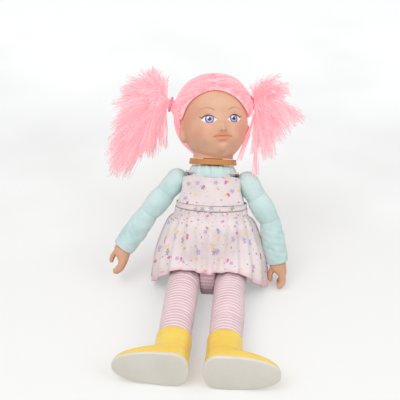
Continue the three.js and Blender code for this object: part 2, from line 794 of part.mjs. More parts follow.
// Hand: a wrist plug, a palm, four fingers side by side and an opposed thumb, with a gap to grip in.
// The palm faces -X and the thumb side of the hand is the -Y side times the given hand.
const wristBack = wristDepth - runningGap;
const palmFacets = 14;
const fingerFacets = 6;
function hand(handed, bend) {
  const grooveLow = wristDepth / 2 - wristTieWidth / 2 - gap;
  const grooveHigh = grooveLow + wristTieWidth + 2 * gap;
  const plug = revolve([
    new THREE.Vector2(0, -handLength * 0.12),
    new THREE.Vector2(wristRadius, -handLength * 0.12),
    new THREE.Vector2(wristRadius, grooveLow),
    new THREE.Vector2(wristGroove, grooveLow),
    new THREE.Vector2(wristGroove, grooveHigh),
    new THREE.Vector2(wristRadius, grooveHigh),
    new THREE.Vector2(wristRadius, wristBack - collarLip),
    new THREE.Vector2(wristRadius - collarLip, wristBack),
    new THREE.Vector2(0, wristBack),
  ], 20);
  const half = handWidth / 2;
  const fingerShares = [-0.375, -0.125, 0.125, 0.375];
  const palmShares = [
    [-0.015, 0.0, 0.86, 0.88], [-0.10, 0.0, 0.90, 0.94], [-0.24, 0.10, 0.84, 1.0],
    [-0.36, 0.30, 0.66, 1.0], [-0.46, 0.46, 0.48, 0.96],
  ];
  const palm = loft(palmShares.map(([down, shift, wideShare, deepShare]) => (
    Array.from({ length: palmFacets }, (_, i) => {
      const angle = (2 * Math.PI * i) / palmFacets;
      const round = (value) => Math.sign(value) * Math.abs(value) ** 0.85;
      return vec(
        half * shift + half * wideShare * round(Math.cos(angle)),
        (handDepth / 2) * deepShare * round(Math.sin(angle)),
        handLength * down,
      );
    })
  )));
  const fingerPathShares = [[0.42, -0.40], [0.52, -0.58], [0.50, -0.74], [0.26, -0.88], [0.0, -0.93]];
  const fingerSwellShares = [0.95, 1, 0.98, 0.9, 0.62];
  const fingers = fingerShares.map((share, i) => {
    const shorter = 1 - 0.05 * Math.abs(i - 1.4);
    const y = handDepth * share * 0.98;
    const path = fingerPathShares.map(([x, z]) => vec(half * x, y, handLength * z * shorter));
    const radii = fingerSwellShares.map((swell) => fingerRadius * 1.42 * swell);
    return softTube(path, radii, fingerFacets, vec(0, 1, 0), 0.76);
  });
  const fingerInner = half * 0.52 - fingerRadius * 1.42;
  const thumbX = fingerInner - gripGap - fingerRadius;
  const thumbY = -handed * handDepth * 0.18;
  const thumbPath = [
    vec(-half * 0.2, thumbY, -handLength * 0.16),
    vec(thumbX * 0.82, thumbY, -handLength * 0.30),
    vec(thumbX, thumbY, -handLength * 0.46),
    vec(thumbX * 0.98, thumbY, -handLength * 0.60),
    vec(thumbX * 0.84, thumbY, -handLength * 0.70),
  ];
  const thumbSwellShares = [1.3, 1.2, 1.06, 1, 0.6];
  const thumbRadii = thumbSwellShares.map((swell) => fingerRadius * swell);
  const thumb = softTube(thumbPath, thumbRadii, fingerFacets, vec(0, 1, 0));
  const bent = new THREE.Matrix4().makeRotationY(radians(bend));
  const below = joined([palm, ...fingers, thumb]).transform(bent.toArray());
  const pocketSide = solid(block(vec(-wide, -wide, -gap), vec(wide, wide, wide)));
  return below.subtract(pocketSide).add(solid(plug));
}

// Arms: the three stuffed stretches and the hand, each in its own frame.
const armFacets = 14;
for (const [name, side] of Object.entries(sides)) {
  const { swing, spreads, handed } = armPose[name];
  const [capSpread, upperSpread, lowerSpread, handSpread] = spreads;
  const swingFrame = group(torso, shoulders[name], swing);
  const capFrame = group(swingFrame, vec(0, 0, 0), 0, -side * capSpread);
  piece(`shoulder_${name}`, limb({
    ballRadius: shoulderBall,
    shoulderShare: Math.sqrt(1 - (shoulderRadius / shoulderBall) ** 2),
    length: shoulderLength,
    swell: shoulderRadius,
    nextBall: creaseBall,
    rimRadius: shoulderRadius,
    facets: armFacets,
  }), 'mint', capFrame);
  const upperFrame = group(capFrame, vec(0, 0, -shoulderLength), 0, -side * (upperSpread - capSpread));
  piece(`upper_arm_${name}`, limb({
    ballRadius: creaseBall,
    shoulderShare: 0,
    length: upperArmLength,
    swell: upperArmRadius,
    nextBall: elbowBall,
    rimRadius: elbowBall + runningGap * 2,
    facets: armFacets,
  }), 'mint', upperFrame);
  const lowerFrame = group(upperFrame, vec(0, 0, -upperArmLength), 0, -side * (lowerSpread - upperSpread));
  piece(`forearm_${name}`, cuffLimb({
    ballRadius: elbowBall,
    length: forearmLength,
    swell: forearmRadius,
    rimRadius: cuffRadius,
    pocketRadius: wristRadius + runningGap,
    pocketDepth: wristDepth,
    facets: armFacets,
  }), 'mint', lowerFrame);
  const wristFrame = group(lowerFrame, vec(0, 0, -forearmLength));
  const tieLow = wristDepth / 2 - wristTieWidth / 2;
  const tie = ring(wristGroove + gap, wristGroove + gap + wristTieWall, tieLow, tieLow + wristTieWidth, 14);
  piece(`wrist_tie_${name}`, tie, 'tie', wristFrame);
  const bend = -side * (handSpread - lowerSpread);
  piece(`hand_${name}`, geometryOf(hand(handed, bend)), 'skin', wristFrame);
}

// Legs: a hip ball, a long barrel, and an ankle plug with a groove for its tie.
const bootTop = -legLength + bootHeight;
const tieTop = bootTop - bootLipDepth - gap;
const grooveRadius = anklePlug - ankleGroove;
function leg() {
  const barrelEnd = bootTop + gap;
  const steps = 6;
  const barrel = Array.from({ length: steps + 1 }, (_, i) => {
    const share = i / steps;
    const height = lerp(barrelEnd, 0, share);
    const straight = lerp(ankleRadius, hipBall, share);
    return new THREE.Vector2(straight + (legRadius - hipBall) * Math.sin(Math.PI * share), height);
  });
  return revolve([
    new THREE.Vector2(0, bootTop - plugDepth),
    new THREE.Vector2(anklePlug - collarLip, bootTop - plugDepth),
    new THREE.Vector2(anklePlug, bootTop - plugDepth + collarLip),
    new THREE.Vector2(anklePlug, tieTop - ankleTieWidth - gap),
    new THREE.Vector2(grooveRadius, tieTop - ankleTieWidth - gap),
    new THREE.Vector2(grooveRadius, tieTop + gap / 2),
    new THREE.Vector2(anklePlug, tieTop + gap / 2),
    new THREE.Vector2(anklePlug, barrelEnd),
    ...barrel,
    ...arc(0, hipBall, 0, 90, 4).slice(1),
  ], 18);
}

// Outline of the boot at one height: the toe reaches forward (-Y), the heel back.
const outlinePoints = 20;
function bootOutline(toe, heel, halfWidth, height, inset = 0) {
  return Array.from({ length: outlinePoints }, (_, i) => {
    const angle = (2 * Math.PI * i) / outlinePoints;
    const [across, along] = [Math.sin(angle), Math.cos(angle)];
    const square = (value) => Math.sign(value) * Math.abs(value) ** 0.84;
    const reach = along > 0 ? toe - inset : heel - inset;
    return vec((halfWidth - inset) * square(across), -reach * square(along), height);
  });
}

// Boot stations: height, toe reach, heel reach and half width, as shares of the boot's sizes.
const bootShares = [
  [0.085, 0.985, 0.98, 0.97], [0.19, 0.965, 0.97, 0.96], [0.255, 0.90, 0.96, 0.95],
  [0.31, 0.78, 0.95, 0.93], [0.36, 0.58, 0.94, 0.91], [0.41, 0.42, 0.93, 0.89],
  [0.52, 0.34, 0.93, 0.87], [0.74, 0.317, 0.935, 0.87], [0.96, 0.321, 0.95, 0.875], [1, 0.314, 0.93, 0.86],
];

function bootRings(inset, rows) {
  return rows.map(([height, toe, heel, width]) => bootOutline(
    toeLength * toe,
    heelLength * heel,
    soleHalfWidth * width,
    -legLength + bootHeight * height,
    inset,
  ));
}

function boot() {
  const outer = solid(loft(bootRings(0, bootShares)));
  const hollowRows = bootShares.slice(1).map(([height, ...rest], i) => (
    [i === 0 ? height * 0.78 : height, ...rest]
  ));
  const openRows = hollowRows.slice(0, -1);
  const hollow = solid(loft(bootRings(bootWall, openRows)));
  const throat = solid(revolve([
    new THREE.Vector2(0, bootTop - plugDepth - bootLipDepth),
    new THREE.Vector2(anklePlug + shaftLip, bootTop - plugDepth - bootLipDepth),
    new THREE.Vector2(anklePlug + gap * 2, bootTop + overrun),
    new THREE.Vector2(0, bootTop + overrun),
  ], 28));
  const lipBlock = solid(block(vec(-wide, -wide, bootTop - bootLipDepth), vec(wide, wide, wide)));
  return outer.subtract(hollow.subtract(lipBlock)).subtract(throat);
}

// The sole plate follows the boot's outline and is thicker under the heel.
function sole() {
  const outline = (height) => bootOutline(toeLength, heelLength, soleHalfWidth, height);
  const top = -legLength + bootHeight * bootShares[0][0] - gap;
  const low = -legLength + heelBlock;
  const plate = solid(loft([outline(low), outline(top)]));
  const heelBreast = -heelLength * 0.4;
  const heelForm = solid(loft([outline(-legLength), outline(low + weld)]));
  const heelOnly = solid(block(vec(-wide, heelBreast, -wide), vec(wide, wide, wide)));
  return plate.add(heelForm.intersect(heelOnly));
}

const toesOutAngle = 90;
for (const [name, side] of Object.entries(sides)) {
  const legFrame = group(torso, hips[name], reclineAngle - 90);
  piece(`leg_${name}`, leg(), 'stripe', legFrame);
  const tieInner = grooveRadius + gap;
  const tieRing = ring(tieInner, tieInner + ankleTieWall, tieTop - ankleTieWidth, tieTop, 16);
  piece(`ankle_tie_${name}`, tieRing, 'tie', legFrame);
  const bootFrame = group(legFrame, vec(0, 0, 0), 0, 0, side * toesOutAngle);
  piece(`boot_${name}`, geometryOf(boot()), 'boot', bootFrame);
  piece(`sole_${name}`, geometryOf(sole()), 'sole', bootFrame);
}

// Pinafore: a waistband that closes behind, a bib, two straps and a gathered skirt.
const bandLow = spine - waistDrop - bandWidth / 2;
const bandHigh = bandLow + bandWidth;
const bandOverlap = 22;
const bandStart = 180 - bandOverlap / 2;
const stripStep = touchStripThickness + gap;
const overlapLift = clothThickness + 2 * stripStep + gap;
function bandOffset(turn) {
  const begin = bandStart - bandOverlap / 2;
  return clothGap + overlapLift * THREE.MathUtils.smoothstep(turn, begin, begin + bandOverlap / 2);
}

const bandTurns = 360 + bandOverlap;
piece('waistband', sheet(36, 1, (u, v, outer) => {
  const turn = -bandStart + u * (bandTurns - bandOverlap / 2);
  const offset = (turn > 90 ? bandOffset(turn) : clothGap) + (outer ? clothThickness : 0);
  return bodyPoint(lerp(bandLow, bandHigh, v), turn, offset);
}), 'pinafore', torso);

const stripTurn = bandOverlap * 0.36;
const stripBase = clothGap + clothThickness + gap;
const strips = [['loop_strip', stripBase], ['hook_strip', stripBase + stripStep]];
for (const [name, offset] of strips) {
  const middle = -bandStart + bandOverlap / 4;
  piece(name, sheet(3, 1, (u, v, outer) => bodyPoint(
    lerp(bandLow + clothGap, bandHigh - clothGap, v),
    middle + lerp(-stripTurn / 2, stripTurn / 2, u),
    offset + (outer ? touchStripThickness : 0),
  )), 'tie', torso);
}

// The bib stands a little off the chest near its top, and widens towards the waist.
const bibHalfShares = [[0, 1.2], [0.3, 1.09], [0.5, 1.05], [0.8, 1.04], [1, 1]];
const bibHalfAt = stations(bibHalfShares);
const bibTop = spine - bibTopDrop;
const bibChest = spine - shoulderDrop;
const chestEaseShare = 0.1;
function bibPoint(x, height, outer) {
  const chest = bodySection(Math.min(height, bibChest));
  const cosine = Math.sqrt(1 - Math.min((x / chest.width) ** 2, 1));
  const offset = clothGap + (outer ? clothThickness : 0);
  const ease = Math.max(height - bibChest, 0) * chestEaseShare;
  return vec(x * (1 + offset / chest.width), -(chest.front + offset) * cosine + ease, height);
}

piece('bib', sheet(12, 7, (u, v, outer) => {
  const height = lerp(bandHigh + gap, bibTop, v);
  const half = Math.min(bibTopHalfWidth * bibHalfAt(v)[0], bodySection(height).width * 0.93);
  return bibPoint(lerp(-half, half, u), height, outer);
}), 'pinafore', torso);

// Straps run from the bib over the shoulders to the waistband behind, just off the body.
const strapCentreDrop = 38;
const strapCentre = spine - strapCentreDrop;
function strapReach(x, angle) {
  const direction = vec(0, -Math.cos(angle), Math.sin(angle));
  let [low, high] = [0, bodyHalfWidth * 2];
  for (let i = 0; i < 30; i++) {
    const reach = (low + high) / 2;
    const height = strapCentre + direction.z * reach;
    const section = bodySection(height);
    const depth = direction.y < 0 ? section.front : section.back;
    const level = (x / section.width) ** 2 + ((direction.y * reach) / depth) ** 2;
    if (level < 1 && height < spine * highest) low = reach;
    else high = reach;
  }
  return (low + high) / 2;
}

const strapEndAngle = 186;
for (const [name, side] of Object.entries(sides)) {
  piece(`strap_${name}`, sheet(16, 2, (u, v, outer) => {
    const x = side * (strapSpan - strapWidth * 0.35 * u * u + lerp(-strapWidth / 2, strapWidth / 2, v));
    const start = bibPoint(x, bibTop + gap, false);
    const from = Math.atan2(start.z - strapCentre, -start.y);
    const stand = Math.hypot(start.z - strapCentre, start.y) - strapReach(x, from);
    const angle = lerp(from, radians(strapEndAngle), u);
    const front = Math.max(1 - (angle - from) / (Math.PI / 2 - from), 0);
    const wall = outer ? clothThickness : 0;
    const reach = strapReach(x, angle) + lerp(clothGap, stand, front ** 1.5) + wall;
    return vec(x, -Math.cos(angle) * reach, strapCentre + Math.sin(angle) * reach);
  }), 'pinafore', torso);
}

// Skirt, apron fashion: gathered at the waist, over the belly and thighs, and open behind.
// Columns: turn from the front as a share of a half turn, then hip, lap and hem places.
// Each place: out, back and up as shares of skirtReach, skirtRear (or skirtFront ahead) and skirtLap.
const skirtShares = [
  [0.00, [0.00, -0.26, 1.92], [0.00, -0.62, 1.16], [0.00, -0.92, 0.86]],
  [0.13, [0.27, -0.20, 1.90], [0.26, -0.60, 1.17], [0.26, -0.92, 0.96]],
  [0.25, [0.49, 0.06, 1.84], [0.55, -0.40, 1.16], [0.56, -1.00, 0.97]],
  [0.37, [0.66, 0.20, 1.72], [0.80, -0.10, 0.98], [0.84, -0.55, 0.50]],
  [0.50, [0.76, 0.47, 1.56], [0.94, 0.30, 0.80], [0.99, 0.10, 0.07]],
  [0.62, [0.73, 0.68, 1.40], [0.90, 0.62, 0.62], [0.98, 0.56, 0.05]],
  [0.76, [0.56, 0.84, 1.26], [0.68, 0.86, 0.54], [0.74, 0.90, 0.05]],
  [0.92, [0.20, 0.90, 1.20], [0.26, 0.93, 0.50], [0.30, 1.00, 0.05]],
];

const skirtRowShares = [0, 0.34, 0.68, 1];
const skirtColumns = skirtShares.map(([turnShare, ...places]) => ({
  turn: 180 * turnShare,
  places: places.map(([out, back, up]) => vec(
    skirtReach * out,
    (back < 0 ? skirtFront : skirtRear) * back,
    skirtLap * up,
  )),
}));
const placeAt = stations(skirtColumns.map(({ turn, places }) => [
  turn,
  ...places.flatMap((p) => [p.x, p.y, p.z]),
]));

function skirtPath(turn) {
  const flat = placeAt(Math.abs(turn));
  const mirrored = turn < 0 ? -1 : 1;
  const waist = bodyPoint(bandLow - 2 * gap, turn, clothGap).applyMatrix4(torso.matrixWorld);
  const gathers = bodyPoint(bandLow - bandWidth * 1.6, turn, clothGap * 4).applyMatrix4(torso.matrixWorld);
  const places = [0, 3, 6].map((k) => vec(mirrored * flat[k], flat[k + 1], flat[k + 2]));
  return [waist, gathers, ...places];
}

const gatherAngle = 17;
function skirtPoint(turn, v) {
  const curve = new THREE.CatmullRomCurve3(skirtPath(turn), false, 'catmullrom', 0.5);
  const point = curve.getPoint(v);
  const out = vec(Math.sin(radians(turn)), -Math.cos(radians(turn)), 0.35).normalize();
  const growth = (0.15 + 0.85 * v) * Math.sin(Math.PI * Math.min(v * 0.62 + 0.05, 1));
  const fold = skirtFold * growth * Math.sin((turn / gatherAngle) * Math.PI * 2);
  return point.addScaledVector(out, fold);
}

const skirtEdgeAngle = 166;
const skirtGridColumns = 54;
const skirtGridRows = 7;
function skirtForm() {
  const grid = [];
  for (let column = 0; column <= skirtGridColumns; column++) {
    const turn = lerp(-skirtEdgeAngle, skirtEdgeAngle, column / skirtGridColumns);
    grid.push(Array.from({ length: skirtGridRows + 1 }, (_, row) => skirtPoint(turn, row / skirtGridRows)));
  }
  const normalAt = (column, row) => {
    const left = grid[Math.max(column - 1, 0)][row];
    const right = grid[Math.min(column + 1, skirtGridColumns)][row];
    const above = grid[column][Math.max(row - 1, 0)];
    const below = grid[column][Math.min(row + 1, skirtGridRows)];
    return right.clone().sub(left).cross(above.clone().sub(below)).normalize();
  };
  return sheet(skirtGridColumns, skirtGridRows, (u, v, outer) => {
    const column = Math.round(u * skirtGridColumns);
    const row = Math.round(v * skirtGridRows);
    const point = grid[column][row].clone();
    const normal = normalAt(column, row);
    return outer ? point.addScaledVector(normal, skirtThickness) : point;
  });
}

piece('skirt', skirtForm().applyMatrix4(toTorso), 'pinafore', torso);

export default doll;
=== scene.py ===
"""Soft-bodied play doll, dressed over its CAD frame.

Lengths are in millimetres until a mesh is made; the doll faces -Y and its own left is +X.
"""
import logging
import random
from dataclasses import dataclass, field
from enum import Enum
from math import asin, atan2, copysign, cos, degrees, exp, hypot, pi, radians, sin, sqrt, tan
from typing import Any, Callable, Iterable, Sequence

import bmesh
import bpy
import numpy as np
from mathutils import Matrix, Vector


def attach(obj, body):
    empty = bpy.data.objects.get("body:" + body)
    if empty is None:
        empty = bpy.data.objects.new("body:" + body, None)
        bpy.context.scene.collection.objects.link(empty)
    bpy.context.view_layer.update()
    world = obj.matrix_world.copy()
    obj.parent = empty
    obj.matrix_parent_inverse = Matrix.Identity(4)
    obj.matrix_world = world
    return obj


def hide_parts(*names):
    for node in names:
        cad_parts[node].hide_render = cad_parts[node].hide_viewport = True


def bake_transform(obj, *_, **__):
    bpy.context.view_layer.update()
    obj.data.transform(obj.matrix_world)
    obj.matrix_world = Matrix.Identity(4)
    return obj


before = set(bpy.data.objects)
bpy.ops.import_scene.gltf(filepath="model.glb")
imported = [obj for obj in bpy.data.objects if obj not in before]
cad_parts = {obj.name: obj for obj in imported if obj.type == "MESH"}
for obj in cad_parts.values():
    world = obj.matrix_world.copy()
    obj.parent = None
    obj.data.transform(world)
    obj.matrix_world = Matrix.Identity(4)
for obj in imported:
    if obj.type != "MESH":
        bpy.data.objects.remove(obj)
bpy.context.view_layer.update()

logger = logging.getLogger("doll")
MM = 0.001
WELD = 0.00001
Triple = tuple[float, float, float]
Colour = tuple[float, float, float, float]
Ring = list[Vector]
Socket = bpy.types.NodeSocket
Piece = bpy.types.Object


class Side(Enum):
    """The doll's two sides, by the sign of their X."""

    right = -1
    left = 1


def srgb(red: int, green: int, blue: int) -> Colour:
    """Returns a linear colour from one written as it looks on a screen, 0 to 255."""
    def linear(value: float) -> float:
        """Returns one channel without its gamma."""
        return value / 12.92 if value <= 0.04045 else ((value + 0.055) / 1.055) ** 2.4
    return (linear(red / 255), linear(green / 255), linear(blue / 255), 1.0)


def mix(low: float, high: float, share: float) -> float:
    """Returns the value that lies share of the way from low to high."""
    return low + (high - low) * share


def smooth(low: float, high: float, value: float) -> float:
    """Returns 0 below low and 1 above high, with a soft rise between them."""
    share = min(max((value - low) / (high - low), 0.0), 1.0)
    return share * share * (3 - 2 * share)


def turned(axis: str, degrees: float) -> Matrix:
    """Returns a 4 by 4 turn about one axis."""
    return Matrix.Rotation(radians(degrees), 4, axis)


def shifted(x: float, y: float, z: float) -> Matrix:
    """Returns a 4 by 4 shift."""
    return Matrix.Translation((x, y, z))


class Stations:
    """Rows of [height, value...] read smoothly between the rows."""

    def __init__(self, rows: Sequence[Sequence[float]]) -> None:
        """Keeps the rows.

        Args:
            rows: Each row's height and its values, with rising heights.
        """
        self.heights = [row[0] for row in rows]
        self.values = np.array([row[1:] for row in rows], float)

    def __call__(self, height: float) -> np.ndarray:
        """Reads the values at one height.

        Args:
            height: Where to read, held between the first and last rows.

        Returns:
            The values there.
        """
        t, v = self.heights, self.values
        height = min(max(height, t[0]), t[-1])
        i = 1
        while i < len(t) - 1 and height > t[i]:
            i += 1
        t0, t1 = t[i - 1], t[i]
        before, t_before = (i - 2, t[i - 2]) if i >= 2 else (i, t1)
        after, t_after = (i + 1, t[i + 1]) if i + 1 < len(t) else (i - 1, t0)
        half, p = (t1 - t0) / 2, (height - t0) / (t1 - t0)
        w_low, w_high = half / (t0 - t_before), half / (t_after - t1)
        square, cube = p * p, p * p * p
        s_before = -w_low * cube + 2 * w_low * square - w_low * p
        s0 = (1 + w_low) * cube + (-1.5 - 2 * w_low) * square + (-0.5 + w_low) * p + 1
        s1 = (-1 - w_high) * cube + (1.5 + w_high) * square + 0.5 * p
        s_after = w_high * cube - w_high * square
        return s_before * v[before] + s0 * v[i - 1] + s1 * v[i] + s_after * v[after]


def spline_point(points: Sequence[Vector], share: float) -> Vector:
    """Reads a smooth open curve through points.

    Args:
        points: The points that the curve passes through.
        share: 0 at the first point and 1 at the last.

    Returns:
        The point of the curve.
    """
    count = len(points)
    place = (count - 1) * share
    i = min(int(place), count - 2)
    t = place - i
    a, b = points[i], points[i + 1]
    before = points[i - 1] if i > 0 else a * 2 - b
    after = points[i + 2] if i + 2 < count else b * 2 - a
    start, end = (b - before) * 0.5, (after - a) * 0.5
    return (a * (2 * t**3 - 3 * t * t + 1) + start * (t**3 - 2 * t * t + t)
            + b * (3 * t * t - 2 * t**3) + end * (t**3 - t * t))


def bowed(start: Vector, bend: Vector, end: Vector, share: float) -> Vector:
    """Returns the point at a share of the way along a curve that a third point bows."""
    return start * (1 - share) ** 2 + bend * 2 * share * (1 - share) + end * share * share


def evenly(count: int) -> list[float]:
    """Returns the shares from 0 to 1 in count even steps."""
    return [i / count for i in range(count + 1)]


def round_turns(count: int) -> list[float]:
    """Returns count even turns of a circle, in radians."""
    return [2 * pi * i / count for i in range(count)]


class Tree:
    """A node tree that is built with few words."""

    def __init__(self, tree: bpy.types.NodeTree) -> None:
        """Wraps a tree."""
        self.tree = tree

    def node(self, kind: str, settings: dict[str, Any] | None = None, **inputs: Any) -> bpy.types.Node:
        """Adds a node.

        Args:
            kind: The node's type name.
            settings: Properties to set on it.
            **inputs: Sockets by name with _ for a space, or i0, i1... by place; a socket links.

        Returns:
            The node.
        """
        made = self.tree.nodes.new(kind)
        for name, value in (settings or {}).items():
            setattr(made, name, value)
        for name, value in inputs.items():
            place = name[1:]
            socket = made.inputs[int(place)] if place.isdigit() else made.inputs[name.replace("_", " ")]
            if isinstance(value, Socket):
                self.tree.links.new(value, socket)
            else:
                socket.default_value = value
        return made

    def math(self, operation: str, *values: Any, clamp: bool = False) -> Socket:
        """Returns the outcome of a sum on values or sockets."""
        inputs = {f"i{i}": value for i, value in enumerate(values)}
        return self.node("ShaderNodeMath", {"operation": operation, "use_clamp": clamp}, **inputs).outputs[0]

    def times(self, *values: Any, clamp: bool = False) -> Socket:
        """Returns one value times another."""
        return self.math("MULTIPLY", *values, clamp=clamp)

    def plus(self, *values: Any) -> Socket:
        """Returns one value plus another."""
        return self.math("ADD", *values)

    def minus(self, *values: Any, clamp: bool = False) -> Socket:
        """Returns one value minus another."""
        return self.math("SUBTRACT", *values, clamp=clamp)

    def vector(self, operation: str, *values: Any) -> Socket:
        """Returns the vector outcome of a sum on vectors."""
        inputs = {f"i{i}": value for i, value in enumerate(values)}
        return self.node("ShaderNodeVectorMath", {"operation": operation}, **inputs).outputs[0]

    def scaled(self, vector: Any, factor: Any) -> Socket:
        """Returns a vector times a number."""
        return self.node("ShaderNodeVectorMath", {"operation": "SCALE"}, i0=vector, Scale=factor).outputs[0]

    def blend(self, share: Any, low: Any, high: Any, how: str = "MIX") -> Socket:
        """Returns a colour between two, by a share."""
        settings = {"data_type": "RGBA", "blend_type": how}
        return self.node("ShaderNodeMix", settings, i0=share, i6=low, i7=high).outputs[2]

    def step(self, value: Any, low: float, high: float, bottom: float = 0,
             top: float = 1) -> Socket:
        """Returns a soft step from bottom at low to top at high."""
        settings = {"interpolation_type": "SMOOTHSTEP"}
        made = self.node("ShaderNodeMapRange", settings, i0=value, i1=low, i2=high, i3=bottom, i4=top)
        return made.outputs[0]

    def noise(self, place: Any, scale: float, detail: float = 2, rough: float = 0.5) -> Socket:
        """Returns a noise value from 0 to 1."""
        inputs = {"Vector": place, "Scale": scale, "Detail": detail, "Roughness": rough}
        return self.node("ShaderNodeTexNoise", **inputs).outputs[0]

    def split(self, vector: Any) -> Any:
        """Returns the three numbers of a vector."""
        return self.node("ShaderNodeSeparateXYZ", Vector=vector).outputs

    def attribute(self, name: str, output: str = "Fac") -> Socket:
        """Returns a stored value of the mesh."""
        return self.node("ShaderNodeAttribute", {"attribute_name": name}).outputs[output]


class Coat:
    """A material under way: its tree, shader and the places that patterns read."""

    def __init__(self, name: str) -> None:
        """Starts the material.

        Args:
            name: The material's name.
        """
        self.material = bpy.data.materials.new(name)
        self.material.use_nodes = True
        self.tree = Tree(self.material.node_tree)
        self.shader = self.material.node_tree.nodes["Principled BSDF"]
        places = self.tree.node("ShaderNodeTexCoord")
        self.place = places.outputs["Object"]
        self.cloth = places.outputs["UV"]

    def set(self, **values: Any) -> None:
        """Sets or links sockets of the shader, with _ for a space."""
        for name, value in values.items():
            socket = self.shader.inputs[name.replace("_", " ")]
            if isinstance(value, Socket):
                self.tree.tree.links.new(value, socket)
            else:
                socket.default_value = value

    def bump(self, height: Any, depth: float, strength: float = 1.0) -> None:
        """Gives the surface relief.

        Args:
            height: The socket with the relief, 0 to 1.
            depth: Its depth in metres.
            strength: How much of it shows.
        """
        made = self.tree.node("ShaderNodeBump", Height=height, Distance=depth, Strength=strength)
        self.set(Normal=made.outputs[0])


@dataclass(frozen=True)
class Knit:
    """A soft knitted jersey, plain or striped."""

    name: str
    base: Colour
    shade: Colour
    stripe: Colour | None = None
    stripe_step: float = 4.5
    stripe_share: float = 0.4
    loop: float = 1.1

    def build(self) -> bpy.types.Material:
        """Makes the material; the mesh's UV map holds cloth millimetres.

        Returns:
            The material.
        """
        coat = Coat(self.name)
        tree = coat.tree
        across, along = tree.split(coat.cloth)[:2]
        wales = tree.math("SINE", tree.times(across, 2 * pi / self.loop))
        slant = tree.times(tree.math("ABSOLUTE", wales), 0.9)
        courses = tree.math("SINE", tree.math("MULTIPLY_ADD", along, 2 * pi / (self.loop * 0.8), slant))
        loops = tree.plus(tree.times(tree.math("ABSOLUTE", wales), 0.6), tree.times(courses, 0.3))
        cloudy = tree.noise(coat.place, 42, 3, 0.6)
        fuzz = tree.noise(coat.place, 2600, 2, 0.7)
        colour = tree.blend(tree.step(cloudy, 0.35, 0.7), self.base, self.shade)
        if self.stripe is not None:
            wave = tree.math("FRACT", tree.math("DIVIDE", along, self.stripe_step))
            edge = tree.math("PINGPONG", wave, 0.5)
            lines = tree.step(edge, self.stripe_share / 2 - 0.05, self.stripe_share / 2 + 0.05, 1, 0)
            colour = tree.blend(lines, colour, self.stripe)
        # Painted shade: the knit is darker where its loops dip, plus fine random fuzz.
        loop_gap_shade = tree.times(tree.minus(1.0, loops), 0.10)
        colour = tree.blend(tree.plus(loop_gap_shade, tree.times(fuzz, 0.05)), colour, self.shade)
        coat.set(Base_Color=colour, Roughness=0.92, Sheen_Weight=0.25, Sheen_Roughness=0.6,
                 Specular_IOR_Level=0.2)
        relief = tree.plus(tree.times(loops, 0.7), tree.times(fuzz, 0.5))
        coat.bump(relief, 0.00022, 0.7)
        return coat.material


@dataclass(frozen=True)
class Vinyl:
    """Soft moulded vinyl with a faint orange peel, a warm tint mottled at random and fine wear."""

    name: str
    base: Colour
    warm: Colour
    roughness: float = 0.42
    peel: float = 0.00005
    coat: float = 0.0
    sheen: float = 0.0

    def colour(self, coat: Coat) -> Socket:
        """Returns the surface colour, mottled very lightly.

        Args:
            coat: The material under way.
        """
        tree = coat.tree
        cloudy = tree.noise(coat.place, 26, 3, 0.55)
        specks = tree.noise(coat.place, 700, 2, 0.6)
        share = tree.plus(tree.step(cloudy, 0.35, 0.75), tree.times(specks, 0.15))
        return tree.blend(tree.times(share, 0.7, clamp=True), self.base, self.warm)

    def dress(self, coat: Coat, colour: Socket) -> None:
        """Sets the shader from a colour.

        Args:
            coat: The material under way.
            colour: Its colour socket.
        """
        tree = coat.tree
        handled = tree.noise(coat.place, 95, 4, 0.6)
        rough = tree.step(handled, 0.3, 0.8, self.roughness - 0.05, self.roughness + 0.09)
        coat.set(Base_Color=colour, Roughness=rough, Specular_IOR_Level=0.45, Coat_Weight=self.coat,
                 Coat_Roughness=0.25, Sheen_Weight=self.sheen)
        coat.bump(tree.noise(coat.place, 1500, 3, 0.6), self.peel, 0.8)

    def build(self) -> bpy.types.Material:
        """Makes the material.

        Returns:
            The material.
        """
        coat = Coat(self.name)
        self.dress(coat, self.colour(coat))
        return coat.material


@dataclass(frozen=True)
class Hair:
    """Glossy nylon hair: pale strands with saturated shade near the roots.

    The glow stands for the light that passes from strand to strand in real hair.
    """

    name: str
    light: Colour
    middle: Colour
    deep: Colour
    combed: bool = False
    glow: Colour = srgb(255, 178, 184)

    def build(self) -> bpy.types.Material:
        """Makes the material; tint and along are stored on strands, and cloth millimetres on combed hair.

        Returns:
            The material.
        """
        coat = Coat(self.name)
        tree = coat.tree
        if self.combed:
            drawn = tree.vector("MULTIPLY", coat.cloth, (2.4, 0.10, 1.0))
            tint = tree.noise(drawn, 1.0, 4, 0.7)
            fine = tree.noise(tree.vector("MULTIPLY", coat.cloth, (7.0, 0.2, 1.0)), 1.0, 3, 0.7)
            colour = tree.blend(tree.step(tint, 0.38, 0.62), self.deep, self.middle)
            colour = tree.blend(tree.step(fine, 0.5, 0.75), colour, self.light)
            coat.bump(tree.plus(tint, fine), 0.0009, 0.9)
        else:
            tint = tree.attribute("tint")
            along = tree.attribute("along")
            colour = tree.blend(tree.step(tint, 0.0, 0.75), self.deep, self.middle)
            colour = tree.blend(tree.step(tint, 0.55, 1.0), colour, self.light)
            colour = tree.blend(tree.step(along, 0.0, 0.3, 0.35, 0.0), colour, self.deep)
            coat.bump(tree.noise(coat.place, 3000, 2, 0.6), 0.00005, 0.5)
        coat.set(Base_Color=colour, Roughness=0.45, Specular_IOR_Level=0.4, Sheen_Weight=0.3,
                 Subsurface_Weight=1.0, Subsurface_Radius=(0.006, 0.004, 0.0045), Subsurface_Scale=1.0,
                 Emission_Color=self.glow, Emission_Strength=0.27)
        return coat.material


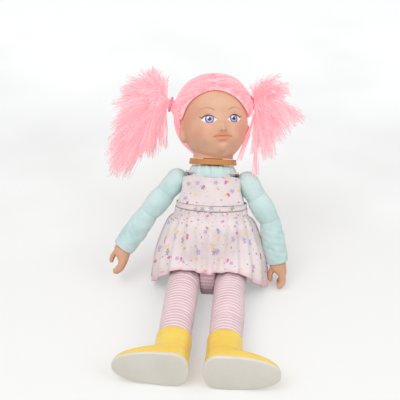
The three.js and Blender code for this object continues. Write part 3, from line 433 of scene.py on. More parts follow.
@dataclass(frozen=True)
class Webbing:
    """Narrow woven or moulded trim: cable ties, touch fastening, elastic and sewing thread."""

    name: str
    base: Colour
    shade: Colour
    roughness: float = 0.6
    grain: float = 1400.0

    def build(self) -> bpy.types.Material:
        """Makes the material.

        Returns:
            The material.
        """
        coat = Coat(self.name)
        tree = coat.tree
        threads = tree.noise(coat.place, self.grain, 3, 0.65)
        colour = tree.blend(tree.step(threads, 0.35, 0.7), self.base, self.shade)
        coat.set(Base_Color=colour, Roughness=self.roughness, Specular_IOR_Level=0.35)
        coat.bump(threads, 0.0003, 0.6)
        return coat.material


class Motif(Enum):
    """The outlines of the printed cotton's motifs."""

    star = 0
    heart = 1
    flower = 2
    dot = 3


@dataclass(frozen=True)
class PrintedCotton:
    """White cotton with small scattered motifs and a pink selvage near the hem."""

    name: str
    ground: Colour
    shade: Colour
    edge: Colour
    inks: tuple[tuple[Motif, float, float, Colour], ...]
    hem_from: float = 1e6

    def spot(self, coat: Coat, motif: Motif, step: float, size: float, seed: float) -> Socket:
        """Draws one motif in jittered cells.

        Args:
            coat: The material under way.
            motif: Which outline.
            step: The cells' step in millimetres.
            size: The motif's half width in millimetres.
            seed: Shifts and turns this layer.

        Returns:
            A mask, 1 on the motif.
        """
        tree = coat.tree
        place = tree.node("ShaderNodeMapping", Vector=coat.cloth, Location=(seed * 7.3, seed * 3.1, 0),
                          Rotation=(0, 0, seed), Scale=(1, 1, 0)).outputs[0]
        cells = tree.node("ShaderNodeTexVoronoi", {"voronoi_dimensions": "2D"}, Vector=place, Scale=1 / step,
                          Randomness=0.72)
        local = tree.vector("SUBTRACT", place, cells.outputs["Position"])
        pick = tree.node("ShaderNodeSeparateColor", Color=cells.outputs["Color"])
        spin = tree.times(pick.outputs[0], 6.2)
        local = tree.node("ShaderNodeVectorRotate", {"rotation_type": "Z_AXIS"}, Vector=local, Angle=spin)
        x, y = tree.split(local.outputs[0])[:2]
        radius = tree.math("SQRT", tree.plus(tree.times(x, x), tree.times(y, y)))
        angle = tree.math("ARCTAN2", y, x)
        if motif is Motif.star:
            wave = tree.math("MULTIPLY_ADD", tree.math("COSINE", tree.times(angle, 5)), 0.3, 0.7)
        elif motif is Motif.flower:
            petals = tree.math("ABSOLUTE", tree.math("COSINE", tree.times(angle, 2.5)))
            wave = tree.math("MULTIPLY_ADD", petals, 0.55, 0.45)
        elif motif is Motif.heart:
            lobe = tree.math("ABSOLUTE", tree.math("SINE", angle))
            cleft = tree.math("POWER", tree.minus(1.0, lobe), 0.5)
            wave = tree.math("MULTIPLY_ADD", cleft, 0.5, 0.5)
        else:
            wave = 1.0
        rim = tree.math("DIVIDE", radius, tree.times(wave, size))
        kept = tree.math("GREATER_THAN", pick.outputs[1], 0.28)
        return tree.times(tree.step(rim, 0.85, 1.1, 1, 0), kept)

    def build(self) -> bpy.types.Material:
        """Makes the material; the UV map holds cloth millimetres, v from the waist down.

        Returns:
            The material.
        """
        coat = Coat(self.name)
        tree = coat.tree
        soft = tree.noise(coat.place, 34, 3, 0.55)
        colour = tree.blend(tree.step(soft, 0.4, 0.75), self.ground, self.shade)
        for count, (motif, step, size, ink) in enumerate(self.inks):
            mask = self.spot(coat, motif, step, size, 1.0 + count * 1.7)
            colour = tree.blend(tree.times(mask, 0.85), colour, ink)
        across, down = tree.split(coat.cloth)[:2]
        hem = tree.step(down, self.hem_from, self.hem_from + 0.8)
        colour = tree.blend(hem, colour, self.edge)
        warp = tree.math("SINE", tree.times(across, 11.0))
        weft = tree.math("SINE", tree.times(down, 11.0))
        weave = tree.times(warp, weft)
        colour = tree.blend(tree.math("MULTIPLY_ADD", weave, 0.04, 0.04), colour, self.shade)
        coat.set(Base_Color=colour, Roughness=0.88, Sheen_Weight=0.12, Specular_IOR_Level=0.2)
        crumple = tree.noise(coat.place, 130, 3, 0.5)
        coat.bump(tree.plus(tree.times(weave, 0.1), crumple), 0.0007, 0.6)
        return coat.material


class FaceBrush:
    """Lays inks on the face; x and up are millimetres from the middle of the head."""

    def __init__(self, coat: Coat, colour: Socket) -> None:
        """Reads the place on the face.

        Args:
            coat: The material under way.
            colour: The bare skin's colour.
        """
        self.tree = coat.tree
        self.colour = colour
        self.across, self.up = self.tree.split(coat.cloth)[:2]
        self.x = self.tree.math("ABSOLUTE", self.across)

    def square(self, value: Any) -> Socket:
        """Returns a value times itself."""
        return self.tree.times(value, value)

    def far(self, cx: float, cz: float, rx: float, rz: float) -> Socket:
        """Returns the distance from a spot on the face, in shares of its two radii."""
        a = self.tree.math("DIVIDE", self.tree.minus(self.x, cx), rx)
        b = self.tree.math("DIVIDE", self.tree.minus(self.up, cz), rz)
        return self.tree.math("SQRT", self.tree.plus(self.square(a), self.square(b)))

    def paint(self, mask: Socket, ink: Any, strength: float = 1.0) -> None:
        """Lays one ink over the colour so far."""
        share = self.tree.times(mask, strength, clamp=True)
        self.colour = self.tree.blend(share, self.colour, ink)

    def stroke(self, height: Socket, half: Any, fade: float = 0.25) -> Socket:
        """Returns a mask along a curved line: 1 where up is within half of height."""
        gap = self.tree.math("ABSOLUTE", self.tree.minus(self.up, height))
        return self.tree.step(self.tree.minus(gap, half), -fade, fade, 1, 0)

    def between(self, low: float, high: float, soft: float = 0.6) -> Socket:
        """Returns a mask that is 1 for x from low to high."""
        inner = self.tree.step(self.x, low - soft, low + soft)
        return self.tree.times(inner, self.tree.step(self.x, high - soft, high + soft, 1, 0))


@dataclass(frozen=True)
class PaintedFace:
    """The head's vinyl with its painted eyes, lashes, brows, lips and blush.

    The mesh's UV map holds the place on the face in millimetres: x to the doll's left, y up.
    Spots are centre x, centre height and their two radii.
    """

    skin: Vinyl
    iris: Colour
    iris_rim: Colour
    lash: Colour
    brow: Colour
    lip: Colour
    blush: Colour
    scalp: Colour
    name: str = "face_vinyl"
    eye: tuple[float, float] = (14.4, -1.6)
    eye_half: tuple[float, float] = (7.6, 5.3)
    iris_radius: float = 4.9
    gaze: float = -0.6
    mouth: tuple[float, float] = (11.4, -20.6)
    cheek: tuple[float, float, float, float] = (23, -15, 14, 10)
    nostril_shade: tuple[float, float, float, float] = (2.2, -15.4, 1.3, 0.8)
    chin: tuple[float, float, float, float] = (0, -33.2, 7, 1.6)

    def build(self) -> bpy.types.Material:
        """Makes the material.

        Returns:
            The material.
        """
        coat = Coat(self.name)
        tree = coat.tree
        brush = FaceBrush(coat, self.skin.colour(coat))
        brush.paint(tree.step(brush.far(*self.cheek), 0.2, 1.0, 1, 0), self.blush, 0.5)
        lid, under = self.lids(brush)
        self.paint_eye(brush, lid, under)
        self.paint_lashes(brush, lid, under)
        self.paint_brow(brush)
        self.paint_lips(brush)
        # Painted shade under the nose: a darker brown-orange spot at each nostril.
        brush.paint(tree.step(brush.far(*self.nostril_shade), 0.6, 1.1, 1, 0), srgb(165, 100, 80), 0.7)
        brush.paint(tree.step(brush.far(*self.chin), 0.2, 1.2, 1, 0), self.blush, 0.35)
        self.skin.dress(coat, tree.blend(tree.attribute("scalp"), brush.colour, self.scalp))
        return coat.material

    def lids(self, brush: FaceBrush) -> tuple[Socket, Socket]:
        """Returns the heights of the upper and lower lids' lines.

        Args:
            brush: The brush that paints.

        Returns:
            The two heights.
        """
        tree = brush.tree
        dx = tree.minus(brush.x, self.eye[0])
        bend = tree.times(brush.square(dx), -0.068)
        top, bottom = self.eye[1] + self.eye_half[1] - 0.6, self.eye[1] - self.eye_half[1] + 1.1
        lid = tree.plus(tree.math("MULTIPLY_ADD", dx, 0.12, top), bend)
        under = tree.plus(tree.math("MULTIPLY_ADD", dx, 0.10, bottom),
                          tree.times(bend, -0.8))
        return lid, under

    def paint_eye(self, brush: FaceBrush, lid: Socket, under: Socket) -> None:
        """Paints the white, the iris with its dark rim, the pupil and the glint.

        Args:
            brush: The brush that paints.
            lid: The upper lid's height.
            under: The lower lid's height.
        """
        tree = brush.tree
        open_eye = tree.times(tree.step(tree.minus(lid, brush.up), -0.15, 0.15),
                              tree.step(tree.minus(brush.up, under), -0.15, 0.15))
        brush.paint(open_eye, srgb(246, 242, 240))
        middle = self.eye[0] + self.gaze
        from_iris = brush.far(middle, self.eye[1] + 0.2, self.iris_radius, self.iris_radius)
        inside = tree.times(tree.step(from_iris, 0.95, 1.05, 1, 0), open_eye)
        brush.paint(inside, self.iris_rim)
        brush.paint(tree.times(tree.step(from_iris, 0.5, 0.95, 1, 0), inside), self.iris)
        pupil = tree.times(tree.step(from_iris, 0.38, 0.46, 1, 0), inside)
        brush.paint(pupil, srgb(38, 30, 52))
        own_middle = tree.times(tree.math("SIGN", brush.across), middle)
        aside = tree.plus(tree.minus(brush.across, own_middle), 1.7)
        above = tree.minus(tree.minus(brush.up, self.eye[1]), 2.0)
        glint = tree.plus(brush.square(aside), brush.square(above))
        brush.paint(tree.times(tree.step(glint, 0.8, 1.6, 1, 0), open_eye), srgb(255, 255, 255))

    def paint_lashes(self, brush: FaceBrush, lid: Socket, under: Socket) -> None:
        """Paints the lashes' line, its flick, the lower line and painted shade in the lid's crease.

        Args:
            brush: The brush that paints.
            lid: The upper lid's height.
            under: The lower lid's height.
        """
        tree = brush.tree
        half = tree.step(brush.x, 6.5, 20, 0.35, 0.95)
        brush.paint(tree.times(brush.stroke(lid, half), brush.between(6.6, 22.4)), self.lash)
        flick = tree.math("MULTIPLY_ADD", tree.minus(brush.x, 20.5), 0.75, self.eye[1] + 1.6)
        flick_mask = tree.times(brush.stroke(flick, 0.5), brush.between(20.6, 24.0, 0.4))
        brush.paint(flick_mask, self.lash, 0.9)
        lower = tree.times(brush.stroke(under, 0.16), brush.between(9.0, 20.5))
        brush.paint(lower, self.lash, 0.45)
        # Painted shade: a soft darker line in the lid's crease.
        crease = brush.stroke(tree.plus(lid, 1.9), 0.22, 0.4)
        brush.paint(tree.times(crease, brush.between(8, 21.5, 2)), self.brow, 0.35)

    def paint_brow(self, brush: FaceBrush) -> None:
        """Paints the brow's arch, thinner towards the temple.

        Args:
            brush: The brush that paints.
        """
        tree = brush.tree
        arch = tree.times(brush.square(tree.minus(brush.x, 17.5)), -0.042)
        half = tree.step(brush.x, 8, 24, 0.75, 0.25)
        line = brush.stroke(tree.plus(arch, 11.6), half, 0.4)
        brush.paint(tree.times(line, brush.between(8.2, 24, 1.0)), self.brow, 0.8)

    def paint_lips(self, brush: FaceBrush) -> None:
        """Paints the upper lip's bow, the paler lower lip and the line between them.

        Args:
            brush: The brush that paints.
        """
        tree = brush.tree
        half, height = self.mouth
        line = tree.plus(tree.times(brush.square(brush.x), -0.0055), height)
        share = brush.square(tree.math("DIVIDE", brush.x, half))
        full = tree.minus(1.0, share, clamp=True)
        bow = tree.times(tree.step(brush.x, 0, 3.0, 0.78, 1), full)
        upper = tree.math("MULTIPLY_ADD", bow, 3.3, line)
        lower = tree.math("MULTIPLY_ADD", full, -4.6, line)
        lips = tree.times(tree.step(tree.minus(upper, brush.up), -0.3, 0.3),
                          tree.step(tree.minus(brush.up, lower), -0.3, 0.5))
        lips = tree.times(lips, tree.step(brush.x, half - 0.8, half + 0.4, 1, 0))
        above = tree.step(tree.minus(brush.up, line), -0.4, 0.4)
        brush.paint(tree.times(lips, above), self.lip, 0.95)
        brush.paint(tree.times(lips, tree.minus(1.0, above)), self.lip, 0.5)
        parted = tree.times(brush.stroke(line, 0.28, 0.35), brush.between(-1, half))
        brush.paint(parted, srgb(170, 92, 74), 0.6)


PINK_LIGHT, PINK_MID, PINK_DEEP = srgb(255, 236, 241), srgb(255, 216, 226), srgb(255, 186, 203)
MINT = Knit("mint_knit", srgb(214, 236, 235), srgb(192, 223, 221))
STRIPED = Knit("striped_knit", srgb(236, 200, 207), srgb(222, 182, 191), srgb(249, 238, 240))
SKIN = Vinyl("skin_vinyl", srgb(232, 186, 156), srgb(214, 156, 124))
COLLAR = Vinyl("collar_vinyl", srgb(206, 143, 84), srgb(190, 124, 66), 0.45)
BOOT = Vinyl("boot_vinyl", srgb(249, 216, 96), srgb(240, 196, 72), 0.34, 0.00008, 0.25)
SOLE = Vinyl("sole_vinyl", srgb(233, 228, 217), srgb(222, 216, 202), 0.5)
HAIR = Hair("nylon_hair", PINK_LIGHT, PINK_MID, PINK_DEEP)
COMBED = Hair("combed_hair", PINK_LIGHT, PINK_MID, PINK_DEEP, True)
TIE = Webbing("tie_nylon", srgb(236, 233, 226), srgb(214, 210, 200))
BAND = Webbing("hair_band", srgb(246, 168, 190), srgb(224, 130, 158), 0.7, 2200)
THREAD = Webbing("seam_thread", srgb(238, 226, 228), srgb(214, 196, 200), 0.7, 3000)
MINT_THREAD = Webbing("mint_thread", srgb(186, 215, 213), srgb(166, 198, 196), 0.7, 3000)
FACE = PaintedFace(SKIN, srgb(186, 180, 226), srgb(92, 78, 150), srgb(96, 58, 44), srgb(176, 124, 94),
                   srgb(232, 138, 108), srgb(226, 150, 128), srgb(236, 170, 164))
COTTON_INKS = (
    (Motif.dot, 13.0, 0.9, srgb(150, 152, 160)),
    (Motif.star, 16.0, 2.5, srgb(247, 214, 110)),
    (Motif.heart, 21.0, 2.6, srgb(234, 92, 140)),
    (Motif.flower, 18.0, 2.9, srgb(190, 172, 222)),
    (Motif.star, 25.0, 3.1, srgb(158, 160, 170)),
    (Motif.dot, 9.0, 0.6, srgb(240, 150, 180)),
)
COTTON_GROUND, COTTON_SHADE = srgb(243, 230, 231), srgb(228, 214, 217)
COTTON = PrintedCotton("printed_cotton", COTTON_GROUND, COTTON_SHADE, srgb(244, 214, 219), COTTON_INKS)
SKIRT_COTTON = PrintedCotton("skirt_cotton", COTTON_GROUND, COTTON_SHADE, srgb(246, 208, 215), COTTON_INKS,
                             87.0)

# The sitting pose, in millimetres and degrees, as the CAD frame holds it.
SEAT = (0, 14.3, 26)
RECLINE = 22
SPINE = 122
NECK_DROP = 19
NECK_LEAN = 7
NECK_TILT = radians(NECK_LEAN)
HEAD_YAW, HEAD_PITCH, HEAD_ROLL = 15, -10, -4.5
HEAD_RISE = 43
TORSO = shifted(*SEAT) @ turned("X", -RECLINE)
NECK = (TORSO @ shifted(0, -sin(NECK_TILT) * NECK_DROP, SPINE - cos(NECK_TILT) * NECK_DROP)
        @ turned("X", -NECK_LEAN))
COLLAR_FRAME = NECK @ shifted(0, 0, NECK_DROP)
HEAD = COLLAR_FRAME @ turned("Z", HEAD_YAW)
LEAN = HEAD @ shifted(0, 0, HEAD_RISE) @ turned("X", HEAD_PITCH) @ turned("Y", HEAD_ROLL)

# The legs' place in the row frame and the cloth body's half width, front and back.
HIP_X, LEG_HEIGHT = 27, 21.75
BODY_WIDTH, BODY_FRONT, BODY_BACK = 46, 38, 36

# Stitches: from one to the next, the length of one and the thread's radius.
STITCH_STEP, STITCH_LENGTH, THREAD_RADIUS = 3.0, 1.9, 0.22

MATERIALS: dict[str, bpy.types.Material] = {}


def material(finish: Any) -> bpy.types.Material:
    """Returns the finish's material, made once.

    Args:
        finish: A finish with a build method.
    """
    if finish.name not in MATERIALS:
        MATERIALS[finish.name] = finish.build()
    return MATERIALS[finish.name]


def linked(name: str, data: Any) -> Piece:
    """Returns a new object in the scene for a mesh, curve, lamp or camera."""
    made = bpy.data.objects.new(name, data)
    bpy.context.scene.collection.objects.link(made)
    return made


def make_mesh(name: str, points: Iterable[Sequence[float]], faces: Sequence[Sequence[int]], finish: Any,
              uvs: Sequence[Sequence[float]] | None = None) -> Piece:
    """Makes a smooth-shaded object whose mesh holds its place.

    Args:
        name: The object's name.
        points: Corners in millimetres.
        faces: Corner numbers of each face.
        finish: The finish that dresses it.
        uvs: One place per face corner in cloth millimetres, if the finish reads them.

    Returns:
        The object.
    """
    mesh = bpy.data.meshes.new(name)
    mesh.from_pydata([tuple(c * MM for c in p) for p in points], [], [tuple(f) for f in faces])
    if uvs is not None:
        layer = mesh.uv_layers.new(name="cloth")
        layer.data.foreach_set("uv", np.array(uvs, np.float32).ravel())
    mesh.polygons.foreach_set("use_smooth", [True] * len(mesh.polygons))
    mesh.materials.append(material(finish))
    return linked(name, mesh)


def mend(made: Piece, weld: bool = False, outward: bool = True) -> None:
    """Merges a mesh's doubles, turns its faces outward, or both.

    Args:
        made: The piece, closed once its doubles are merged.
        weld: Whether doubles are merged.
        outward: Whether the faces are turned outward.
    """
    work = bmesh.new()
    work.from_mesh(made.data)
    if weld:
        bmesh.ops.remove_doubles(work, verts=work.verts, dist=WELD)
    if outward:
        bmesh.ops.recalc_face_normals(work, faces=work.faces)
    work.to_mesh(made.data)
    work.free()


def loft(name: str, rings: Sequence[Ring], finish: Any, span: tuple[float, float] = (80, 100),
         caps: bool = True) -> Piece:
    """Skins closed rings.

    Args:
        name: The object's name.
        rings: Rings with the same number of points.
        finish: The finish.
        span: The cloth's millimetres around and along.
        caps: Whether the ends close.

    Returns:
        The object.
    """
    count, rows = len(rings[0]), len(rings)
    points = [p for ring in rings for p in ring]
    faces, uvs = [], []
    for row in range(rows - 1):
        low, high = span[1] * row / (rows - 1), span[1] * (row + 1) / (rows - 1)
        for i in range(count):
            j = (i + 1) % count
            faces.append((row * count + i, row * count + j, (row + 1) * count + j, (row + 1) * count + i))
            left, right = span[0] * i / count, span[0] * (i + 1) / count
            uvs += [(left, low), (right, low), (right, high), (left, high)]
    if caps:
        for row, turn in ((0, -1), (rows - 1, 1)):
            ring = [row * count + i for i in range(count)]
            middle = sum(rings[row], Vector()) / count
            points.append(middle)
            for i in range(count):
                pair = (ring[i], ring[(i + 1) % count])
                faces.append((*pair[::turn], len(points) - 1))
                uvs += [(span[0] * i / count, span[1] * row / (rows - 1))] * 3
    made = make_mesh(name, points, faces, finish, uvs)
    mend(made)
    return made


def sheet_mesh(name: str, columns: int, rows: int, at: Callable[[float, float], Vector], finish: Any,
               flat: Callable[[float, float], tuple[float, float]], thick: float) -> Piece:
    """Makes a cloth panel with a thickness.

    Args:
        name: The object's name.
        columns: Cells across.
        rows: Cells along.
        at: The panel's point for shares across and along.
        finish: The finish.
        flat: The same place on the flat cut in millimetres.
        thick: The cloth's thickness in millimetres.

    Returns:
        The object.
    """
    points, faces, uvs = [], [], []
    for i in range(columns + 1):
        points += [at(i / columns, j / rows) for j in range(rows + 1)]
    for i in range(columns):
        for j in range(rows):
            a = i * (rows + 1) + j
            faces.append((a, a + 1, a + rows + 2, a + rows + 1))
            corners = ((i, j), (i, j + 1), (i + 1, j + 1), (i + 1, j))
            uvs += [flat(p / columns, q / rows) for p, q in corners]
    made = make_mesh(name, points, faces, finish, uvs)
    wall = made.modifiers.new("wall", "SOLIDIFY")
    wall.thickness = thick * MM
    wall.offset = 0
    bake(made)
    return made


def evaluated(made: Piece) -> bpy.types.Mesh:
    """Returns a new mesh with what an object's modifiers make of it."""
    bpy.context.view_layer.update()
    graph = bpy.context.evaluated_depsgraph_get()
    return bpy.data.meshes.new_from_object(made.evaluated_get(graph), depsgraph=graph)


def bake(made: Piece) -> None:
    """Applies an object's modifiers to its mesh."""
    mesh = evaluated(made)
    made.modifiers.clear()
    made.data = mesh


def fuse(made: Piece, voxel: float, passes: int) -> None:
    """Remeshes a piece as one closed skin and relaxes it.

    Args:
        made: The piece.
        voxel: The remesh step in millimetres.
        passes: Smoothing passes.
    """
    remesh = made.modifiers.new("remesh", "REMESH")
    remesh.mode, remesh.voxel_size, remesh.use_smooth_shade = "VOXEL", voxel * MM, True
    relax = made.modifiers.new("relax", "SMOOTH")
    relax.factor, relax.iterations = 0.5, passes
    bake(made)


def cad_copy(name: str, node: str, finish: Any, voxel: float, passes: int) -> Piece:
    """Copies a CAD node's shape as one smooth closed mesh.

    Args:
        name: The new object's name.
        node: The node whose shape it takes.
        finish: The finish.
        voxel: The remesh step in millimetres.
        passes: Smoothing passes.

    Returns:
        The object.
    """
    made = linked(name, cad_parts[node].data.copy())
    mend(made, weld=True, outward=False)
    fuse(made, voxel, passes)
    made.data.materials.clear()
    made.data.materials.append(material(finish))
    return made


def box_uvs(made: Piece, to_local: Matrix) -> None:
    """Gives a remeshed piece cloth millimetres: around its own axis and down it.

    Args:
        made: The piece.
        to_local: From the row frame in millimetres to the piece's frame.
    """
    mean_radius = 40
    layer = made.data.uv_layers.new(name="cloth")
    places = np.zeros((len(made.data.loops), 2), np.float32)
    local = [to_local @ (v.co / MM) for v in made.data.vertices]
    for polygon in made.data.polygons:
        middle = sum((local[i] for i in polygon.vertices), Vector()) / len(polygon.vertices)
        base = atan2(middle.x, -middle.y)
        for loop, corner in zip(polygon.loop_indices, polygon.vertices):
            p = local[corner]
            turn = atan2(p.x, -p.y)
            turn += 2 * pi * round((base - turn) / (2 * pi))
            places[loop] = (turn * mean_radius, p.z)
    layer.data.foreach_set("uv", places.ravel())


def plump(pieces: Sequence[Piece], cap: float = 1.0, frames: int = 16) -> None:
    """Fills padded pieces with a short cloth simulation and holds back how far each point moves.

    Args:
        pieces: The pieces, each a closed mesh.
        cap: The most that a point moves, in millimetres.
        frames: How many frames the simulation runs.
    """
    scene = bpy.context.scene
    scene.frame_set(1)
    before = {}
    for made in pieces:
        before[made.name] = np.array([v.co for v in made.data.vertices])
        cloth = made.modifiers.new("stuffing", "CLOTH")
        cloth.settings.use_pressure = True
        cloth.settings.uniform_pressure_force = 4.0
        cloth.settings.effector_weights.gravity = 0
        cloth.settings.shrink_min = -0.03
        cloth.settings.quality = 4
        cloth.settings.tension_stiffness = 12
        cloth.settings.bending_stiffness = 0.4
        cloth.point_cache.frame_end = frames
    for step in range(1, frames + 1):
        scene.frame_set(step)
    for made in pieces:
        bake(made)
        rest = before[made.name]
        moved = np.array([v.co for v in made.data.vertices]) - rest
        length = np.linalg.norm(moved, axis=1, keepdims=True)
        keep = np.tanh(length / (cap * MM)) * cap * MM / np.maximum(length, 1e-9)
        made.data.vertices.foreach_set("co", (rest + moved * np.minimum(keep, 1)).ravel())
        made.data.update()
    scene.frame_set(1)


def seat_piece(made: Piece, body: str, slot: str, nodes: Sequence[str] = ()) -> None:
    """Places a finished piece in the frame.

    Args:
        made: The piece.
        body: The body that it rides on.
        slot: Its material slot; not used.
        nodes: The CAD nodes that it stands for.
    """
    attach(made, body)
    if nodes:
        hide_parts(*nodes)
    logger.info("%s rides on %s", made.name, body)


def grow(name: str, rule: str, paths: Sequence[Ring], inputs: Sequence[tuple[str, str, float]], finish: Any,
         shape: Callable[[Tree, Any], Socket]) -> Piece:
    """Grows a mesh from curves with Geometry Nodes.

    Args:
        name: The piece's name.
        rule: The node group's name.
        paths: Each curve's points in millimetres.
        inputs: The group's own inputs: name, kind and value, with lengths in metres.
        finish: The finish that dresses the mesh.
        shape: Adds the nodes between the group's input sockets and the geometry that it returns.

    Returns:
        The grown mesh's object.
    """
    curve = bpy.data.curves.new(name, "CURVE")
    curve.dimensions = "3D"
    for path in paths:
        line = curve.splines.new("POLY")
        line.points.add(len(path) - 1)
        for point, p in zip(line.points, path):
            point.co = (*(c * MM for c in p), 1)
    made = linked(name, curve)
    group = bpy.data.node_groups.new(rule, "GeometryNodeTree")
    face = group.interface
    face.new_socket("Geometry", in_out="INPUT", socket_type="NodeSocketGeometry")
    sockets = [face.new_socket(label, in_out="INPUT", socket_type=f"NodeSocket{kind}")
               for label, kind, _ in inputs]
    face.new_socket("Geometry", in_out="OUTPUT", socket_type="NodeSocketGeometry")
    tree = Tree(group)
    shaped = shape(tree, tree.node("NodeGroupInput").outputs)
    real = tree.node("GeometryNodeRealizeInstances", i0=shaped)
    dressed = tree.node("GeometryNodeSetMaterial", Geometry=real.outputs[0], Material=material(finish))
    tree.node("NodeGroupOutput", i0=dressed.outputs[0])
    modifier = made.modifiers.new("grow", "NODES")
    modifier.node_group = group
    for socket, (_, _, value) in zip(sockets, inputs):
        modifier[socket.identifier] = value
    mesh = evaluated(made)
    bpy.data.objects.remove(made)
    mesh.name = name
    return linked(name, mesh)


def stitches(name: str, paths: Sequence[Ring], body: str, slot: str, finish: Any) -> None:
    """Sews a dashed row of thread along paths.

    Args:
        name: The piece's name.
        paths: Each seam's points in millimetres, just on the cloth.
        body: The body that it rides on.
        slot: Its material slot; passed on but not used.
        finish: The thread's finish.
    """
    def shape(tree: Tree, given: Any) -> Socket:
        """Sets a short bar along the seam at each step.

        Args:
            tree: The node tree.
            given: Its input sockets.

        Returns:
            The bars' geometry.
        """
        spaced = tree.node("GeometryNodeCurveToPoints", {"mode": "LENGTH"}, Curve=given[0], Length=given[1])
        bar = tree.node("GeometryNodeMeshCylinder", Vertices=5, Radius=given[3], Depth=given[2])
        facing = tree.node("FunctionNodeAlignEulerToVector", {"axis": "Z"}, Vector=spaced.outputs["Tangent"])
        placed = tree.node("GeometryNodeInstanceOnPoints", Points=spaced.outputs[0],
                           Instance=bar.outputs[0], Rotation=facing.outputs[0])
        return placed.outputs[0]
    inputs = (("Step", "Float", STITCH_STEP * MM), ("Length", "Float", STITCH_LENGTH * MM),
              ("Wire", "Float", THREAD_RADIUS * MM))
    seat_piece(grow(name, "stitch_row", paths, inputs, finish, shape), body, slot)


BODY_ROWS = Stations([
    [-0.27, 0.42, 0.34, 0.14], [-0.245, 0.62, 0.46, 0.34], [-0.21, 0.78, 0.58, 0.62], [-0.16, 0.9, 0.68, 0.9],
    [-0.05, 1.00, 0.80, 1.00], [0.12, 0.99, 0.84, 0.93], [0.31, 0.94, 0.90, 0.80], [0.55, 0.86, 0.84, 0.71],
    [0.67, 0.84, 0.77, 0.70], [0.74, 0.79, 0.71, 0.69], [0.82, 0.765, 0.64, 0.65], [0.87, 0.67, 0.58, 0.57],
    [0.892, 0.46, 0.575, 0.57],
])


def body_section(height: float) -> Triple:
    """Returns the cloth body's half width, front and back at a height on its spine."""
    width, front, back = BODY_ROWS(height / SPINE)
    return width * BODY_WIDTH, front * BODY_FRONT, back * BODY_BACK


def body_point(height: float, turn: float, offset: float = 0) -> Vector:
    """Returns a point of the body's surface in the torso's frame.

    Args:
        height: Its height on the spine.
        turn: Degrees from the front towards the doll's left.
        offset: How far it stands off the surface.
    """
    width, front, back = body_section(height)
    angle = radians(turn)
    depth = front if cos(angle) > 0 else back
    return Vector(((width + offset) * sin(angle), -(depth + offset) * cos(angle), height))


@dataclass
class ClothBody:
    """The stuffed body: mint above the belt seam, striped below it, with a gathered neckline."""

    ruffle_low: float = 107.5
    ruffle_high: float = 117.4
    ruffle_radius: float = 25.5
    padded: list[Piece] = field(default_factory=list)

    def build(self) -> None:
        for name, node, finish in (("body_upper", "torso_upper", MINT), ("body_seat", "torso_seat", STRIPED)):
            made = cad_copy(name, node, finish, 1.8, 6)
            self.padded.append(made)

    def finish(self) -> None:
        """Seats the halves and gathers the neckline."""
        nodes, slots = ("torso_upper", "torso_seat"), ("mint_knit", "striped_knit")
        for made, node, slot in zip(self.padded, nodes, slots):
            box_uvs(made, TORSO.inverted())
            seat_piece(made, "torso", slot, [node])
        self.neckline()

    def neckline(self) -> None:
        """Makes the gathered cloth between the chest and the collar."""
        def at(u: float, v: float) -> Vector:
            """Returns a point of the gathered ring.

            Args:
                u: The share across.
                v: The share along.

            Returns:
                The point.
            """
            turn = 2 * pi * u
            wave = sin(turn * 17) * 0.55 + sin(turn * 29 + 1) * 0.3
            bulge = sin(pi * v)
            radius = self.ruffle_radius + 1.6 * bulge - 3.6 * v + wave * (0.35 + 0.65 * v)
            lean = tan(NECK_TILT) * radius * cos(turn) * v
            height = mix(self.ruffle_low, self.ruffle_high, v) + lean + 0.3 * wave * v
            return TORSO @ Vector((radius * 1.04 * sin(turn), -radius * cos(turn) - 0.5, height))
        around = 2 * pi * self.ruffle_radius * 1.25
        tall = self.ruffle_high - self.ruffle_low + 1.0
        made = sheet_mesh("neckline", 200, 12, at, MINT, lambda u, v: (u * around, v * tall), 0.7)
        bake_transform(made)


